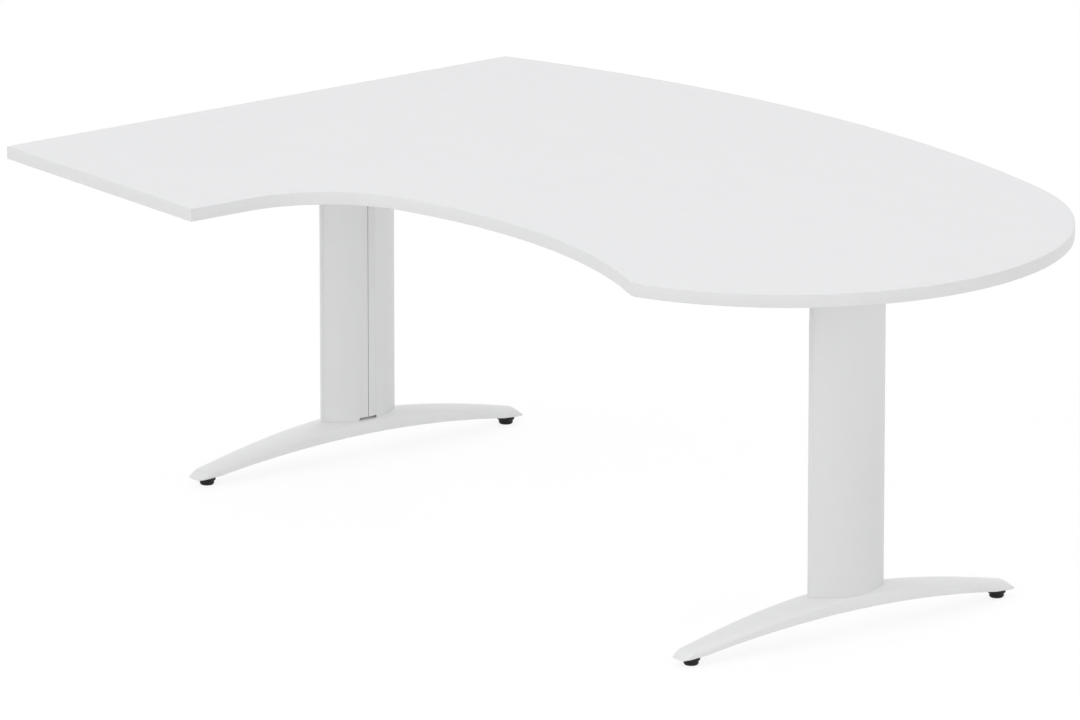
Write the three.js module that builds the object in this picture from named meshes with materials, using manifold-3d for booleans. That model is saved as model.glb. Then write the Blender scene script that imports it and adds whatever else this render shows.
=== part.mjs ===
// Compact office desk: one wave-shaped top with a straight return end, on two
// T-legs joined by a crossbeam that hides under the top.
// Millimetres, +Z up. The origin lies on the floor under the middle of the
// top's bounding box. The user sits on the -Y side, the return end is at -X.
//
// Each leg is built once in its own frame, with +X towards the middle of the
// desk, and the right leg is that leg turned half a turn.

import * as THREE from 'three';
import { mergeVertices } from 'three/addons/utils/BufferGeometryUtils.js';
import Module from 'manifold-3d';

const wasm = await Module();
wasm.setup();

// Top
const deskLength = 1870;
const deskDepth = 1400;
const deskHeight = 724;
const boardThickness = 25;
const bandThickness = 2;
const returnWidth = 600;
const backDrop = 213;
const backCrownFromRight = 882;
const roundEndReach = 122;
const recessRadius = 1100;
const recessCrownFromLeft = 1093;
const recessDepth = 410;
const recessCornerRadius = 240;
const noseRadius = 30;

// Clearances
const seatGap = 0.3;
const boltPlay = 0.3;
const overrun = 1;

// Leg places
const leftLegInset = 64;
const rightLegInset = 286;
const legAheadOfEnd = 51;

// Foot
const footLength = 788;
const footHeight = 83;
const archHeight = 48;
const padLevel = 18;
const noseLevel = 14;
const archSpan = 686;
const glideSpacing = 724;
const footMargin = 2.5;
const footEndWidth = 46;
const footTipWidth = 30;
const bowLength = 30;
const bowPower = 3;
const bevelLength = 20;
const bevelHeight = 32.5;
const tipHeight = 17.5;
const crownPower = 1.7;
const domeRise = 14;
const domePower = 2;
const domeShare = 0.6;
const sideDraft = 1.5;
const footWall = 4;
const pocketsPerSide = 4;
const footRib = 4;
const seatDepth = 6;

// Column
const columnWidth = 175;
const columnDepth = 72;
const columnEndRadius = 10;
const shellWall = 2.5;
const coverWall = 1.5;
const seamWidth = 1.5;
const jointOffset = 4;
const shellLipWidth = 10;
const shellLipThickness = 2;
const seamFlangeDepth = 20;
const notchWidth = 41;
const notchHeight = 8;

// Plates, arm and clips
const basePlateLength = 124;
const basePlateFront = 24;
const plateThickness = 5;
const armLength = 540;
const armWidth = 48;
const armHeight = 30;
const armSheet = 2.5;
const armLipWidth = 16;
const armBevel = 26;
const clipWidth = 40;
const clipHeight = 18;

// Beam and its brackets
const beamSide = 40;
const beamWall = 2;
const beamDrop = 9.4;
const coverBelowBeam = 15;
const bracketPlate = 3;
const bracketOverlap = 6;
const bracketBelowCover = 40;
const spigotLength = 80;
const spigotWall = 3;
const clipBelowCover = 8;

// Fasteners
const footBoltPitch = 90;
const footBoltRadius = 4;
const footBoltHeadRadius = 6.5;
const footBoltHeadHeight = 8;
const footBoltHeadPlay = 0.7;
const footBoltSink = 10;
const boltWebWidth = 30;
const boltTail = 2;
const armBoltPitch = 90;
const armBoltOffset = 12;
const armBoltRadius = 4;
const armBoltHeadRadius = 7;
const armBoltHeadHeight = 4.4;
const beamScrewRadius = 3;
const beamScrewHeadRadius = 5.25;
const beamScrewHeadHeight = 3.3;
const beamScrewFirst = 50;
const beamScrewPitch = 18;
const topScrewPitch = 460;
const topScrewRadius = 2;
const topScrewHeadRadius = 4.5;
const topScrewHeadHeight = 2.6;
const topScrewLength = 16;
const socketShare = 0.55;
const crownShare = 0.8;

// Levelling glides
const insertFlangeRadius = 17;
const insertFlangeHeight = 9;
const insertRimHeight = 8;
const insertFlangeFoot = 16;
const insertRadius = 7;
const insertHeight = 12;
const glideRadius = 14;
const glideSoleRadius = 12;
const glideNeckRadius = 13;
const glideEdgeHeight = 2.5;
const glideNeckHeight = 3;
const glideStemRadius = 4;

// Facets
const chordError = 0.15;
const glideSegments = 20;
const boltSegments = 12;
const footStationPitch = 36;
const bowStations = 5;
const domeSegments = 8;

// Levels and places that follow
const left = -deskLength / 2;
const front = -deskDepth / 2;
const back = deskDepth / 2;
const right = deskLength / 2;
const boardBottom = deskHeight - boardThickness;
const boardInset = bandThickness + seatGap;
const returnEdge = left + returnWidth;
const backCrownX = right - backCrownFromRight;
const backRadius = arcRadius(backCrownX - left, backDrop);
const recessCrownY = front + recessDepth;
const roundEndFront = recessCrownY - roundEndReach;
const roundEndRadius = endRadius();
const endCentreY = roundEndFront + roundEndRadius;
const legY = endCentreY - legAheadOfEnd;
const leftLegX = left + leftLegInset;
const rightLegX = right - rightLegInset;
const armTop = boardBottom - seatGap;
const armBottom = armTop - armHeight;
const columnTop = armBottom - seatGap;
const topPlateBottom = columnTop - plateThickness;
const beamTop = columnTop - beamDrop;
const beamBottom = beamTop - beamSide;
const coverTop = beamBottom - coverBelowBeam;
const seatLevel = footHeight - seatDepth;
const basePlateBottom = seatLevel + seatGap;
const basePlateTop = basePlateBottom + plateThickness;
const columnHalf = columnDepth / 2;
const footHalf = footLength / 2;
const footMidWidth = columnDepth + 2 * footMargin;
const bracketFront = jointOffset - shellLipThickness - seatGap;
const bracketBack = bracketFront - bracketPlate;
const shellLipInner = columnWidth / 2 - shellWall - shellLipWidth;
const insertTop = padLevel - seatGap;
const glideTop = insertTop - insertFlangeHeight - seatGap;

const V2 = (x, y) => new THREE.Vector2(x, y);

const material = (color, roughness, metalness) =>
  new THREE.MeshStandardMaterial({ color, roughness, metalness });
const laminateWhite = material(0xe8e9eb, 0.45, 0);
const bandWhite = material(0xdedfe1, 0.4, 0);
const paintedSteel = material(0xd8d8d9, 0.5, 0.1);
const zincSteel = material(0xb4b7bb, 0.35, 0.9);
const blackNylon = material(0x1e1e20, 0.6, 0);
const greyNylon = material(0x9a9c9f, 0.6, 0);

// Solids

function solidOf(geometry) {
  const bare = geometry.clone();
  bare.deleteAttribute('normal');
  bare.deleteAttribute('uv');
  const merged = mergeVertices(bare);
  return new wasm.Manifold(new wasm.Mesh({
    numProp: 3,
    vertProperties: new Float32Array(merged.attributes.position.array),
    triVerts: new Uint32Array(merged.index.array),
  }));
}

function geometryOf(solid) {
  const raw = solid.getMesh();
  const geometry = new THREE.BufferGeometry();
  geometry.setAttribute('position', new THREE.BufferAttribute(raw.vertProperties, 3));
  geometry.setIndex(new THREE.BufferAttribute(raw.triVerts, 1));
  const faceted = geometry.toNonIndexed();
  faceted.computeVertexNormals();
  return faceted;
}

function piece(name, solid, finish) {
  const mesh = new THREE.Mesh(geometryOf(solid), finish);
  mesh.name = name;
  return mesh;
}

function extruded(points, length) {
  return new THREE.ExtrudeGeometry(new THREE.Shape(points), { depth: length, bevelEnabled: false });
}

// A plan outline raised from one level to another.
function prism(points, low, high) {
  return solidOf(extruded(points, high - low).translate(0, 0, low));
}

// An (x, z) outline drawn out along Y.
function alongY(points, low, high) {
  return solidOf(extruded(points, high - low).rotateX(Math.PI / 2).translate(0, high, 0));
}

// A (y, z) outline drawn out along X.
function alongX(points, low, high) {
  const turn = new THREE.Matrix4().set(0, 0, 1, low, 1, 0, 0, 0, 0, 1, 0, 0, 0, 0, 0, 1);
  return solidOf(extruded(points, high - low).applyMatrix4(turn));
}

function rectangle(x0, x1, y0, y1) {
  return [V2(x0, y0), V2(x1, y0), V2(x1, y1), V2(x0, y1)];
}

function block(x0, x1, y0, y1, z0, z1) {
  return prism(rectangle(x0, x1, y0, y1), z0, z1);
}

// A turned piece on a vertical axis; profile points are (radius, height).
function turned(profile, x, y, segments = boltSegments) {
  const points = profile.map(([radius, height]) => V2(radius, height));
  const geometry = new THREE.LatheGeometry(points, segments);
  return solidOf(geometry.rotateX(Math.PI / 2).translate(x, y, 0));
}

function rod(radius, x, y, low, high) {
  return turned([[0, low], [radius, low], [radius, high], [0, high]], x, y);
}

function hexagonRod(radius, x, y, low, high) {
  const geometry = new THREE.CylinderGeometry(radius, radius, high - low, 6);
  return solidOf(geometry.rotateX(Math.PI / 2).translate(x, y, (low + high) / 2));
}

// Arcs, with as many chords as keep each one within the chord error

function arc(centre, radius, from, to) {
  const step = 2 * Math.acos(1 - chordError / radius);
  const count = Math.max(2, Math.ceil(Math.abs(to - from) / step));
  const points = [];
  for (let i = 0; i <= count; i += 1) {
    const angle = from + (to - from) * i / count;
    points.push(V2(centre.x + radius * Math.cos(angle), centre.y + radius * Math.sin(angle)));
  }
  return points;
}

const bearing = (from, to) => Math.atan2(to.y - from.y, to.x - from.x);

// Where two circles meet, on the left-hand side of the line from a to b.
function circlesMeet(a, radiusA, b, radiusB) {
  const apart = a.distanceTo(b);
  const along = (radiusA ** 2 - radiusB ** 2 + apart ** 2) / (2 * apart);
  const aside = Math.sqrt(radiusA ** 2 - along ** 2);
  const angle = bearing(a, b);
  const foot = V2(a.x + along * Math.cos(angle), a.y + along * Math.sin(angle));
  return V2(foot.x - aside * Math.sin(angle), foot.y + aside * Math.cos(angle));
}

// The radius of an arc from its half chord and its rise.
function arcRadius(halfChord, rise) {
  return (halfChord ** 2 + rise ** 2) / (2 * rise);
}

// Top outline: a chain of tangent arcs from the return end round to the back

// The radius of a round end that touches the right-hand limit and the front
// level, and runs tangent into the back arc.
function endRadius() {
  const rise = roundEndFront - back + backRadius;
  const half = rise - backCrownFromRight + backRadius;
  return Math.sqrt(half ** 2 + backRadius ** 2 - rise ** 2 - backCrownFromRight ** 2) - half;
}

const backCentre = V2(backCrownX, back - backRadius);

function outlineCentres() {
  const endCentre = V2(right - roundEndRadius, endCentreY);
  const recess = V2(left + recessCrownFromLeft, recessCrownY - recessRadius);
  const cornerX = returnEdge + recessCornerRadius;
  const cornerReach = Math.sqrt((recessRadius - recessCornerRadius) ** 2 - (cornerX - recess.x) ** 2);
  const corner = V2(cornerX, recess.y + cornerReach);
  const nose = circlesMeet(endCentre, roundEndRadius - noseRadius, recess, recessRadius + noseRadius);
  return { endCentre, recess, corner, nose };
}

const outline = outlineCentres();

// The back arc's height at a given x, for an outline drawn in by the inset.
function backEdgeY(x, inset) {
  const radius = backRadius - inset;
  return backCentre.y + Math.sqrt(radius ** 2 - (x - backCentre.x) ** 2);
}

// The curved run from the return end's inner side to the back's left corner.
function waveRun(inset, startY, endX) {
  const { endCentre, recess, corner, nose } = outline;
  const recessToCorner = bearing(recess, corner);
  const recessToNose = bearing(recess, nose);
  const endToNose = bearing(endCentre, nose);
  const backToEnd = bearing(backCentre, endCentre);
  const endAngle = Math.acos((endX - backCentre.x) / (backRadius - inset));
  const run = [
    V2(returnEdge - inset, startY),
    ...arc(corner, recessCornerRadius + inset, Math.PI, recessToCorner),
    ...arc(recess, recessRadius + inset, recessToCorner, recessToNose).slice(1),
    ...arc(nose, noseRadius - inset, recessToNose - Math.PI, endToNose).slice(1),
    ...arc(endCentre, roundEndRadius - inset, endToNose, backToEnd).slice(1),
    ...arc(backCentre, backRadius - inset, backToEnd, endAngle).slice(1),
  ];
  return run;
}

function boardOutline() {
  const corner = V2(left + boardInset, front + boardInset);
  return [corner, ...waveRun(boardInset, front + boardInset, left + boardInset)];
}

// Legs' plan places in the desk's frame

function legPoint(side, inward, along) {
  const turn = side === 'left' ? 1 : -1;
  const x = side === 'left' ? leftLegX : rightLegX;
  return V2(x + turn * inward, legY + turn * along);
}

const topScrewPlaces = [];
for (const along of [-topScrewPitch / 2, topScrewPitch / 2]) {
  for (const inward of [-(armWidth + armLipWidth) / 2, (armWidth + armLipWidth) / 2]) {
    topScrewPlaces.push({ inward, along });
  }
}

function makeBoard() {
  let board = prism(boardOutline(), boardBottom, deskHeight);
  for (const side of ['left', 'right']) {
    for (const { inward, along } of topScrewPlaces) {
      const place = legPoint(side, inward, along);
      const top = armTop - armSheet + topScrewLength;
      board = board.subtract(rod(topScrewRadius + boltPlay, place.x, place.y, boardBottom - overrun, top));
    }
  }
  return piece('desktop_board', board, laminateWhite);
}

function makeBands() {
  const innerStart = front + bandThickness + seatGap;
  const frontStrip = rectangle(left, returnEdge, front, front + bandThickness);
  const stripInner = left + bandThickness;
  const sideStrip = [
    V2(left, innerStart),
    V2(stripInner, innerStart),
    V2(stripInner, backEdgeY(stripInner, boardInset)),
    V2(left, backEdgeY(left, boardInset)),
  ];
  const waveStrip = [
    ...waveRun(0, innerStart, left),
    ...waveRun(bandThickness, innerStart, left).reverse(),
  ];
  return [
    piece('edge_band_front', prism(frontStrip, boardBottom, deskHeight), bandWhite),
    piece('edge_band_left', prism(sideStrip, boardBottom, deskHeight), bandWhite),
    piece('edge_band_wave', prism(waveStrip, boardBottom, deskHeight), bandWhite),
  ];
}

// Foot: an arched bar with a domed top, lofted along Y from its sections

const archRadius = arcRadius(archSpan / 2, archHeight - padLevel);

function footTop(v) {
  const reach = Math.abs(v);
  const bevelStart = footHalf - bevelLength;
  if (reach > bevelStart) {
    return bevelHeight + (tipHeight - bevelHeight) * (reach - bevelStart) / bevelLength;
  }
  return footHeight - (footHeight - bevelHeight) * (reach / bevelStart) ** crownPower;
}

function footUnder(v) {
  const past = Math.abs(v) - archSpan / 2;
  if (past > 0) return padLevel - (padLevel - noseLevel) * past / (footHalf - archSpan / 2);
  return archHeight - archRadius + Math.sqrt(archRadius ** 2 - v ** 2);
}

function footHalfWidth(v) {
  const bowStart = footHalf - bowLength;
  const body = footMidWidth - (footMidWidth - footEndWidth) * Math.min(1, Math.abs(v) / bowStart) ** 2;
  const bow = Math.max(0, Math.abs(v) - bowStart) / bowLength;
  return (body - (footEndWidth - footTipWidth) * bow ** bowPower) / 2;
}

// One section ring, drawn in by a wall on the sides and top.
function footRing(v, wall, bottom) {
  const half = footHalfWidth(v) - wall;
  const top = footTop(v) - wall;
  const dome = Math.min(domeRise, (top - bottom) * domeShare);
  const shoulder = top - dome;
  const ring = [[half - sideDraft, bottom]];
  for (let i = 0; i <= domeSegments; i += 1) {
    const angle = Math.PI * i / domeSegments;
    const across = Math.sign(Math.cos(angle)) * Math.abs(Math.cos(angle)) ** (2 / domePower);
    const height = Math.sin(angle) ** (2 / domePower);
    ring.push([half * across, shoulder + dome * height]);
  }
  ring.push([sideDraft - half, bottom]);
  return ring.map(([x, z]) => [x, v, z]);
}

// Skins a row of rings into one closed solid with fanned ends.
function loft(rings) {
  const size = rings[0].length;
  const positions = rings.flat(2);
  const indices = [];
  for (let j = 0; j + 1 < rings.length; j += 1) {
    for (let i = 0; i < size; i += 1) {
      const a = j * size + i;
      const b = j * size + (i + 1) % size;
      indices.push(a, a + size, b, b, a + size, b + size);
    }
  }
  const last = (rings.length - 1) * size;
  for (let i = 1; i + 1 < size; i += 1) {
    indices.push(0, i, i + 1, last, last + i + 1, last + i);
  }
  const geometry = new THREE.BufferGeometry();
  geometry.setAttribute('position', new THREE.Float32BufferAttribute(positions, 3));
  geometry.setIndex(indices);
  return solidOf(geometry);
}

function stations(from, to, pitch) {
  const count = Math.max(1, Math.ceil((to - from) / pitch));
  return Array.from({ length: count + 1 }, (_, i) => from + (to - from) * i / count);
}

function footStations() {
  const bowStart = footHalf - bowLength;
  const bow = stations(bowStart, footHalf, bowLength / bowStations);
  const half = [
    ...stations(0, archSpan / 2, footStationPitch),
    ...bow.filter((v) => v > archSpan / 2 + overrun),
    footHalf - bevelLength,
  ];
  const sorted = [...new Set(half)].sort((a, b) => a - b);
  return [...sorted.slice(1).reverse().map((v) => -v), ...sorted];
}

function footBlank() {
  return loft(footStations().map((v) => footRing(v, 0, footUnder(v))));
}

// The open pockets under the foot, between its cross ribs.
function footPocket(from, to) {
  const rings = stations(from, to, footStationPitch).map((v) =>
    footRing(v, footWall, footUnder(v) - overrun));
  return loft(rings);
}

function pocketSpans() {
  const start = (footBoltPitch + boltWebWidth) / 2;
  const end = glideSpacing / 2 - insertFlangeRadius - footRib;
  const pitch = (end - start + footRib) / pocketsPerSide;
  const spans = [];
  for (let i = 0; i < pocketsPerSide; i += 1) {
    const from = start + i * pitch;
    spans.push([from, from + pitch - footRib]);
  }
  return spans;
}

// The noses hang lower than the pads, so each pad is cut level for its insert.
const padRecess = [[0, noseLevel - overrun], [insertFlangeRadius + boltPlay, noseLevel - overrun],
  [insertFlangeRadius + boltPlay, padLevel], [0, padLevel]];

// The base plate's shape between two levels, grown by some play for its seat.
function basePlateShape(play, low, high) {
  const half = basePlateLength / 2 + play;
  const lens = prism(columnOutline(shellWall + seatGap - play), low, high);
  return lens.intersect(block(-columnDepth, basePlateFront + play, -half, half, low, high));
}

function makeFoot() {
  let foot = footBlank();
  for (const [from, to] of pocketSpans()) {
    foot = foot.subtract(footPocket(from, to)).subtract(footPocket(-to, -from));
  }
  foot = foot.subtract(basePlateShape(seatGap, seatLevel, footHeight + overrun));
  for (const v of [-footBoltPitch / 2, footBoltPitch / 2]) {
    const under = footUnder(v) - overrun;
    const sink = footUnder(v) + footBoltSink;
    foot = foot.subtract(rod(footBoltRadius + boltPlay, 0, v, under, footHeight));
    foot = foot.subtract(rod(footBoltHeadRadius + footBoltHeadPlay, 0, v, under, sink));
  }
  for (const v of [-glideSpacing / 2, glideSpacing / 2]) {
    const bore = insertTop + insertHeight + seatGap;
    foot = foot.subtract(rod(insertRadius + boltPlay, 0, v, padLevel - overrun, bore));
    foot = foot.subtract(turned(padRecess, 0, v, glideSegments));
  }
  return foot;
}

// Column: a lens section of two wide arcs joined by small round ends

function columnOutline(inset) {
  const halfWidth = columnWidth / 2 - columnEndRadius;
  const rise = columnHalf - columnEndRadius;
  const radius = arcRadius(halfWidth, rise) + columnEndRadius;
  const offset = radius - columnHalf;
  const turn = Math.atan2(halfWidth, offset);
  const end = columnEndRadius - inset;
  return [
    ...arc(V2(-offset, 0), radius - inset, -turn, turn),
    ...arc(V2(0, halfWidth), end, turn, Math.PI - turn).slice(1),
    ...arc(V2(offset, 0), radius - inset, Math.PI - turn, Math.PI + turn).slice(1),
    ...arc(V2(0, -halfWidth), end, Math.PI + turn, 2 * Math.PI - turn).slice(1, -1),
  ];
}

function columnRing(wall, low, high) {
  const outer = prism(columnOutline(0), low, high);
  return outer.subtract(prism(columnOutline(wall), low - overrun, high + overrun));
}

// What stands on the foot is cut to its domed top, a seat gap above it.
const footCutter = () => footBlank().translate(0, 0, seatGap);

function makeShell() {
  const low = footUnder(0) + footWall;
  const reach = columnWidth;
  const outerHalf = block(-reach, jointOffset, -reach, reach, low, columnTop);
  const ring = columnRing(shellWall, low, columnTop).intersect(outerHalf);
  const lipLow = basePlateTop + seatGap;
  const lipHigh = topPlateBottom - seatGap;
  const lens = prism(columnOutline(shellWall / 2), lipLow, lipHigh);
  const lipZone = block(jointOffset - shellLipThickness, jointOffset, -reach, reach, lipLow, lipHigh);
  const mouth = block(-reach, reach, -shellLipInner, shellLipInner, lipLow, lipHigh);
  const lips = lens.intersect(lipZone).subtract(mouth);
  return ring.add(lips).subtract(footCutter());
}

// One inner cover, on the +Y side for sign 1 and the -Y side for sign -1.
function makeCover(sign) {
  const low = footUnder(0) + footWall;
  const reach = columnWidth;
  const seam = seamWidth / 2;
  const flangeLow = basePlateTop + seatGap;
  const lens = prism(columnOutline(coverWall / 2), flangeLow, coverTop);
  const skinZone = block(jointOffset + seatGap, reach, seam, reach, low, coverTop);
  const skin = columnRing(coverWall, low, coverTop).intersect(skinZone);
  const seamZone = block(columnHalf - seamFlangeDepth, reach, seam, seam + coverWall, flangeLow, coverTop);
  const edgeOuter = shellLipInner - seatGap;
  const edgeInner = edgeOuter - coverWall;
  const edgeBack = jointOffset - shellLipThickness;
  const edgeZone = block(edgeBack, reach, edgeInner, edgeOuter, flangeLow, coverTop);
  const flanges = lens.intersect(seamZone.add(edgeZone));
  const notchTop = notchFloor() + notchHeight;
  const notch = block(basePlateFront, reach, -overrun, notchWidth / 2, low, notchTop);
  const cover = skin.add(flanges).subtract(notch).subtract(footCutter());
  return sign > 0 ? cover : cover.mirror([0, 1, 0]);
}

// The foot's height under the middle of the column's face.
function notchFloor() {
  const across = columnHalf / footHalfWidth(0);
  return footHeight - domeRise * (1 - (1 - across ** domePower) ** (1 / domePower));
}

function basePlate() {
  let plate = basePlateShape(0, basePlateBottom, basePlateTop);
  for (const v of [-footBoltPitch / 2, footBoltPitch / 2]) {
    const hole = rod(footBoltRadius + boltPlay, 0, v, basePlateBottom - overrun, basePlateTop + overrun);
    plate = plate.subtract(hole);
  }
  return plate;
}

function topPlate() {
  let plate = prism(columnOutline(shellWall + seatGap), topPlateBottom, columnTop);
  for (const v of [-armBoltPitch / 2, armBoltPitch / 2]) {
    const hole = rod(armBoltRadius + boltPlay, -armBoltOffset, v, topPlateBottom - overrun,
      columnTop + overrun);
    plate = plate.subtract(hole);
  }
  return plate;
}

// The support arm: a folded hat channel with its lips against the board.
function supportArm() {
  const half = armWidth / 2;
  const hat = [
    V2(-half, armBottom),
    V2(half, armBottom),
    V2(half, armTop - armSheet),
    V2(half + armLipWidth, armTop - armSheet),
    V2(half + armLipWidth, armTop),
    V2(half - armSheet, armTop),
    V2(half - armSheet, armBottom + armSheet),
    V2(armSheet - half, armBottom + armSheet),
    V2(armSheet - half, armTop),
    V2(-half - armLipWidth, armTop),
    V2(-half - armLipWidth, armTop - armSheet),
    V2(-half, armTop - armSheet),
  ];
  const end = armLength / 2;
  let arm = alongY(hat, -end, end);
  const slope = [
    V2(end - armBevel, armBottom - overrun),
    V2(end + overrun, armBottom - overrun),
    V2(end + overrun, armTop - 2 * armSheet),
    V2(end, armTop - 2 * armSheet),
  ];
  const wedge = alongX(slope, -armWidth, armWidth);
  arm = arm.subtract(wedge).subtract(wedge.mirror([0, 1, 0]));
  for (const v of [-armBoltPitch / 2, armBoltPitch / 2]) {
    const low = armBottom - overrun;
    const high = armBottom + armSheet + overrun;
    arm = arm.subtract(rod(armBoltRadius + boltPlay, -armBoltOffset, v, low, high));
  }
  for (const { inward, along } of topScrewPlaces) {
    const low = armTop - armSheet - overrun;
    arm = arm.subtract(rod(topScrewRadius + boltPlay, inward, along, low, armTop + overrun));
  }
  return arm;
}

// A plate behind the shell's lips with a tube stub that the beam slides over.
function beamBracket() {
  const half = shellLipInner + bracketOverlap;
  const low = coverTop - bracketBelowCover;
  const plate = block(bracketBack, bracketFront, -half, half, low, topPlateBottom - seatGap);
  const stub = beamSide / 2 - beamWall - seatGap;
  const middle = (beamTop + beamBottom) / 2;
  const outer = block(bracketBack, spigotLength, -stub, stub, middle - stub, middle + stub);
  const hollow = stub - spigotWall;
  const bore = block(bracketBack - overrun, spigotLength + overrun, -hollow, hollow,
    middle - hollow, middle + hollow);
  let bracket = plate.add(outer).subtract(bore);
  for (const inward of beamScrewPlaces()) {
    const high = middle - hollow + overrun;
    bracket = bracket.subtract(rod(beamScrewRadius + boltPlay, inward, 0, beamBottom, high));
  }
  return bracket;
}

const beamScrewPlaces = () => [beamScrewFirst, beamScrewFirst + beamScrewPitch];

// A moulded block whose slot holds both covers' seam flanges.
function coverClip(backFace, low) {
  const slot = seamWidth / 2 + coverWall + seatGap;
  const slotBack = columnHalf - seamFlangeDepth - seatGap;
  const body = block(backFace, basePlateFront, -clipWidth / 2, clipWidth / 2, low, low + clipHeight);
  const cut = block(slotBack, basePlateFront + overrun, -slot, slot, low - overrun,
    low + clipHeight + overrun);
  return body.subtract(cut);
}

// Fasteners: a crowned head below or above a plain shank, with a hexagon
// socket that takes the same share of the head's radius and height

function headedBolt({ x, y, seat, radius, headRadius, headHeight, length, up }) {
  const way = up ? 1 : -1;
  const headEnd = seat - way * headHeight;
  const crown = seat - way * headHeight / 2;
  const profile = [[0, headEnd], [headRadius * crownShare, headEnd], [headRadius, crown],
    [headRadius, seat], [radius, seat], [radius, seat + way * length], [0, seat + way * length]];
  const body = turned(up ? profile : profile.reverse(), x, y);
  const floor = headEnd + way * headHeight * socketShare;
  const mouth = headEnd - way * overrun;
  const low = Math.min(floor, mouth);
  const high = Math.max(floor, mouth);
  return body.subtract(hexagonRod(headRadius * socketShare, x, y, low, high));
}

function footBolt(v) {
  const seat = footUnder(v) + footBoltSink - seatGap;
  return headedBolt({ x: 0, y: v, seat, radius: footBoltRadius, headRadius: footBoltHeadRadius,
    headHeight: footBoltHeadHeight, length: basePlateTop + boltTail - seat, up: true });
}

function armBolt(v) {
  const seat = armBottom + armSheet + seatGap;
  return headedBolt({ x: -armBoltOffset, y: v, seat, radius: armBoltRadius,
    headRadius: armBoltHeadRadius, headHeight: armBoltHeadHeight,
    length: seat - topPlateBottom + boltTail, up: false });
}

function topScrew(inward, along) {
  const seat = armTop - armSheet - seatGap;
  return headedBolt({ x: inward, y: along, seat, radius: topScrewRadius,
    headRadius: topScrewHeadRadius, headHeight: topScrewHeadHeight, length: topScrewLength, up: true });
}

function beamScrew(inward) {
  const seat = beamBottom - seatGap;
  const length = beamWall + spigotWall + boltTail + 2 * seatGap;
  return headedBolt({ x: inward, y: 0, seat, radius: beamScrewRadius,
    headRadius: beamScrewHeadRadius, headHeight: beamScrewHeadHeight, length, up: true });
}

// Levelling glide and the threaded insert that it turns in

function glideInsert(v) {
  const low = insertTop - insertFlangeHeight;
  const rim = insertTop - insertRimHeight;
  const bore = glideStemRadius + boltPlay;
  const high = insertTop + insertHeight;
  const profile = [[bore, low], [insertFlangeFoot, low], [insertFlangeRadius, rim],
    [insertFlangeRadius, insertTop], [insertRadius, insertTop], [insertRadius, high],
    [bore, high], [bore, low]];
  return turned(profile, 0, v, glideSegments);
}

function glide(v) {
  const stemTop = insertTop + insertHeight - seatGap;
  const profile = [[0, 0], [glideSoleRadius, 0], [glideRadius, glideEdgeHeight],
    [glideRadius, glideTop - glideNeckHeight], [glideNeckRadius, glideTop],
    [glideStemRadius, glideTop], [glideStemRadius, stemTop], [0, stemTop]];
  return turned(profile, 0, v, glideSegments);
}

// Assembly

function makeLeg(side) {
  const leg = new THREE.Group();
  const place = legPoint(side, 0, 0);
  leg.position.set(place.x, place.y, 0);
  leg.rotation.z = side === 'left' ? 0 : Math.PI;
  const turn = side === 'left' ? 1 : -1;
  const end = (sign) => (sign * turn > 0 ? 'rear' : 'front');
  const add = (name, solid, finish) => leg.add(piece(`${side}_${name}`, solid, finish));

  add('foot', makeFoot(), paintedSteel);
  add('column_shell', makeShell(), paintedSteel);
  add('base_plate', basePlate(), zincSteel);
  add('top_plate', topPlate(), paintedSteel);
  add('support_arm', supportArm(), paintedSteel);
  add('beam_bracket', beamBracket(), paintedSteel);
  add('cover_clip_lower', coverClip(jointOffset, basePlateTop + seatGap), greyNylon);
  add('cover_clip_upper', coverClip(bracketFront + seatGap, coverTop - clipBelowCover - clipHeight),
    greyNylon);
  for (const sign of [-1, 1]) {
    add(`cover_${end(sign)}`, makeCover(sign), paintedSteel);
    add(`foot_bolt_${end(sign)}`, footBolt(sign * footBoltPitch / 2), zincSteel);
    add(`arm_bolt_${end(sign)}`, armBolt(sign * armBoltPitch / 2), zincSteel);
    add(`glide_insert_${end(sign)}`, glideInsert(sign * glideSpacing / 2), blackNylon);
    add(`glide_${end(sign)}`, glide(sign * glideSpacing / 2), blackNylon);
  }
  topScrewPlaces.forEach(({ inward, along }, i) =>
    add(`top_screw_${i + 1}`, topScrew(inward, along), zincSteel));
  beamScrewPlaces().forEach((inward, i) =>
    add(`beam_screw_${i + 1}`, beamScrew(inward), zincSteel));
  return leg;
}

function makeBeam() {
  const start = leftLegX + bracketFront + seatGap;
  const end = rightLegX - bracketFront - seatGap;
  const half = beamSide / 2;
  const middle = (beamTop + beamBottom) / 2;
  const hollow = half - beamWall;
  const outer = block(start, end, -half, half, beamBottom, beamTop);
  const bore = block(start - overrun, end + overrun, -hollow, hollow, middle - hollow, middle + hollow);
  let beam = outer.subtract(bore);
  for (const side of ['left', 'right']) {
    for (const inward of beamScrewPlaces()) {
      const place = legPoint(side, inward, 0);
      const hole = rod(beamScrewRadius + boltPlay, place.x, 0, beamBottom - overrun,
        beamBottom + beamWall + overrun);
      beam = beam.subtract(hole);
    }
  }
  const mesh = piece('crossbeam', beam, paintedSteel);
  mesh.position.y = legY;
  return mesh;
}

const desk = new THREE.Group();
desk.add(makeBoard(), ...makeBands(), makeBeam(), makeLeg('left'), makeLeg('right'));

export default desk;
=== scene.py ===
# %% [markdown]
# # A compact office desk in white
# One wave-shaped top stands on two T-legs. The desk comes as packed solids with exact places and flat
# facets, and this lesson dresses them: it models what shows again with fine curves and soft edges,
# gives each material its finish, and sets up a pale studio with the photograph's camera.
#
# Everything is in metres. +X runs along the desk towards the round end, +Y away from the user, +Z up,
# and the origin is on the floor under the middle of the top.

import math

import bmesh
import bpy
from mathutils import Matrix, Vector


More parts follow.
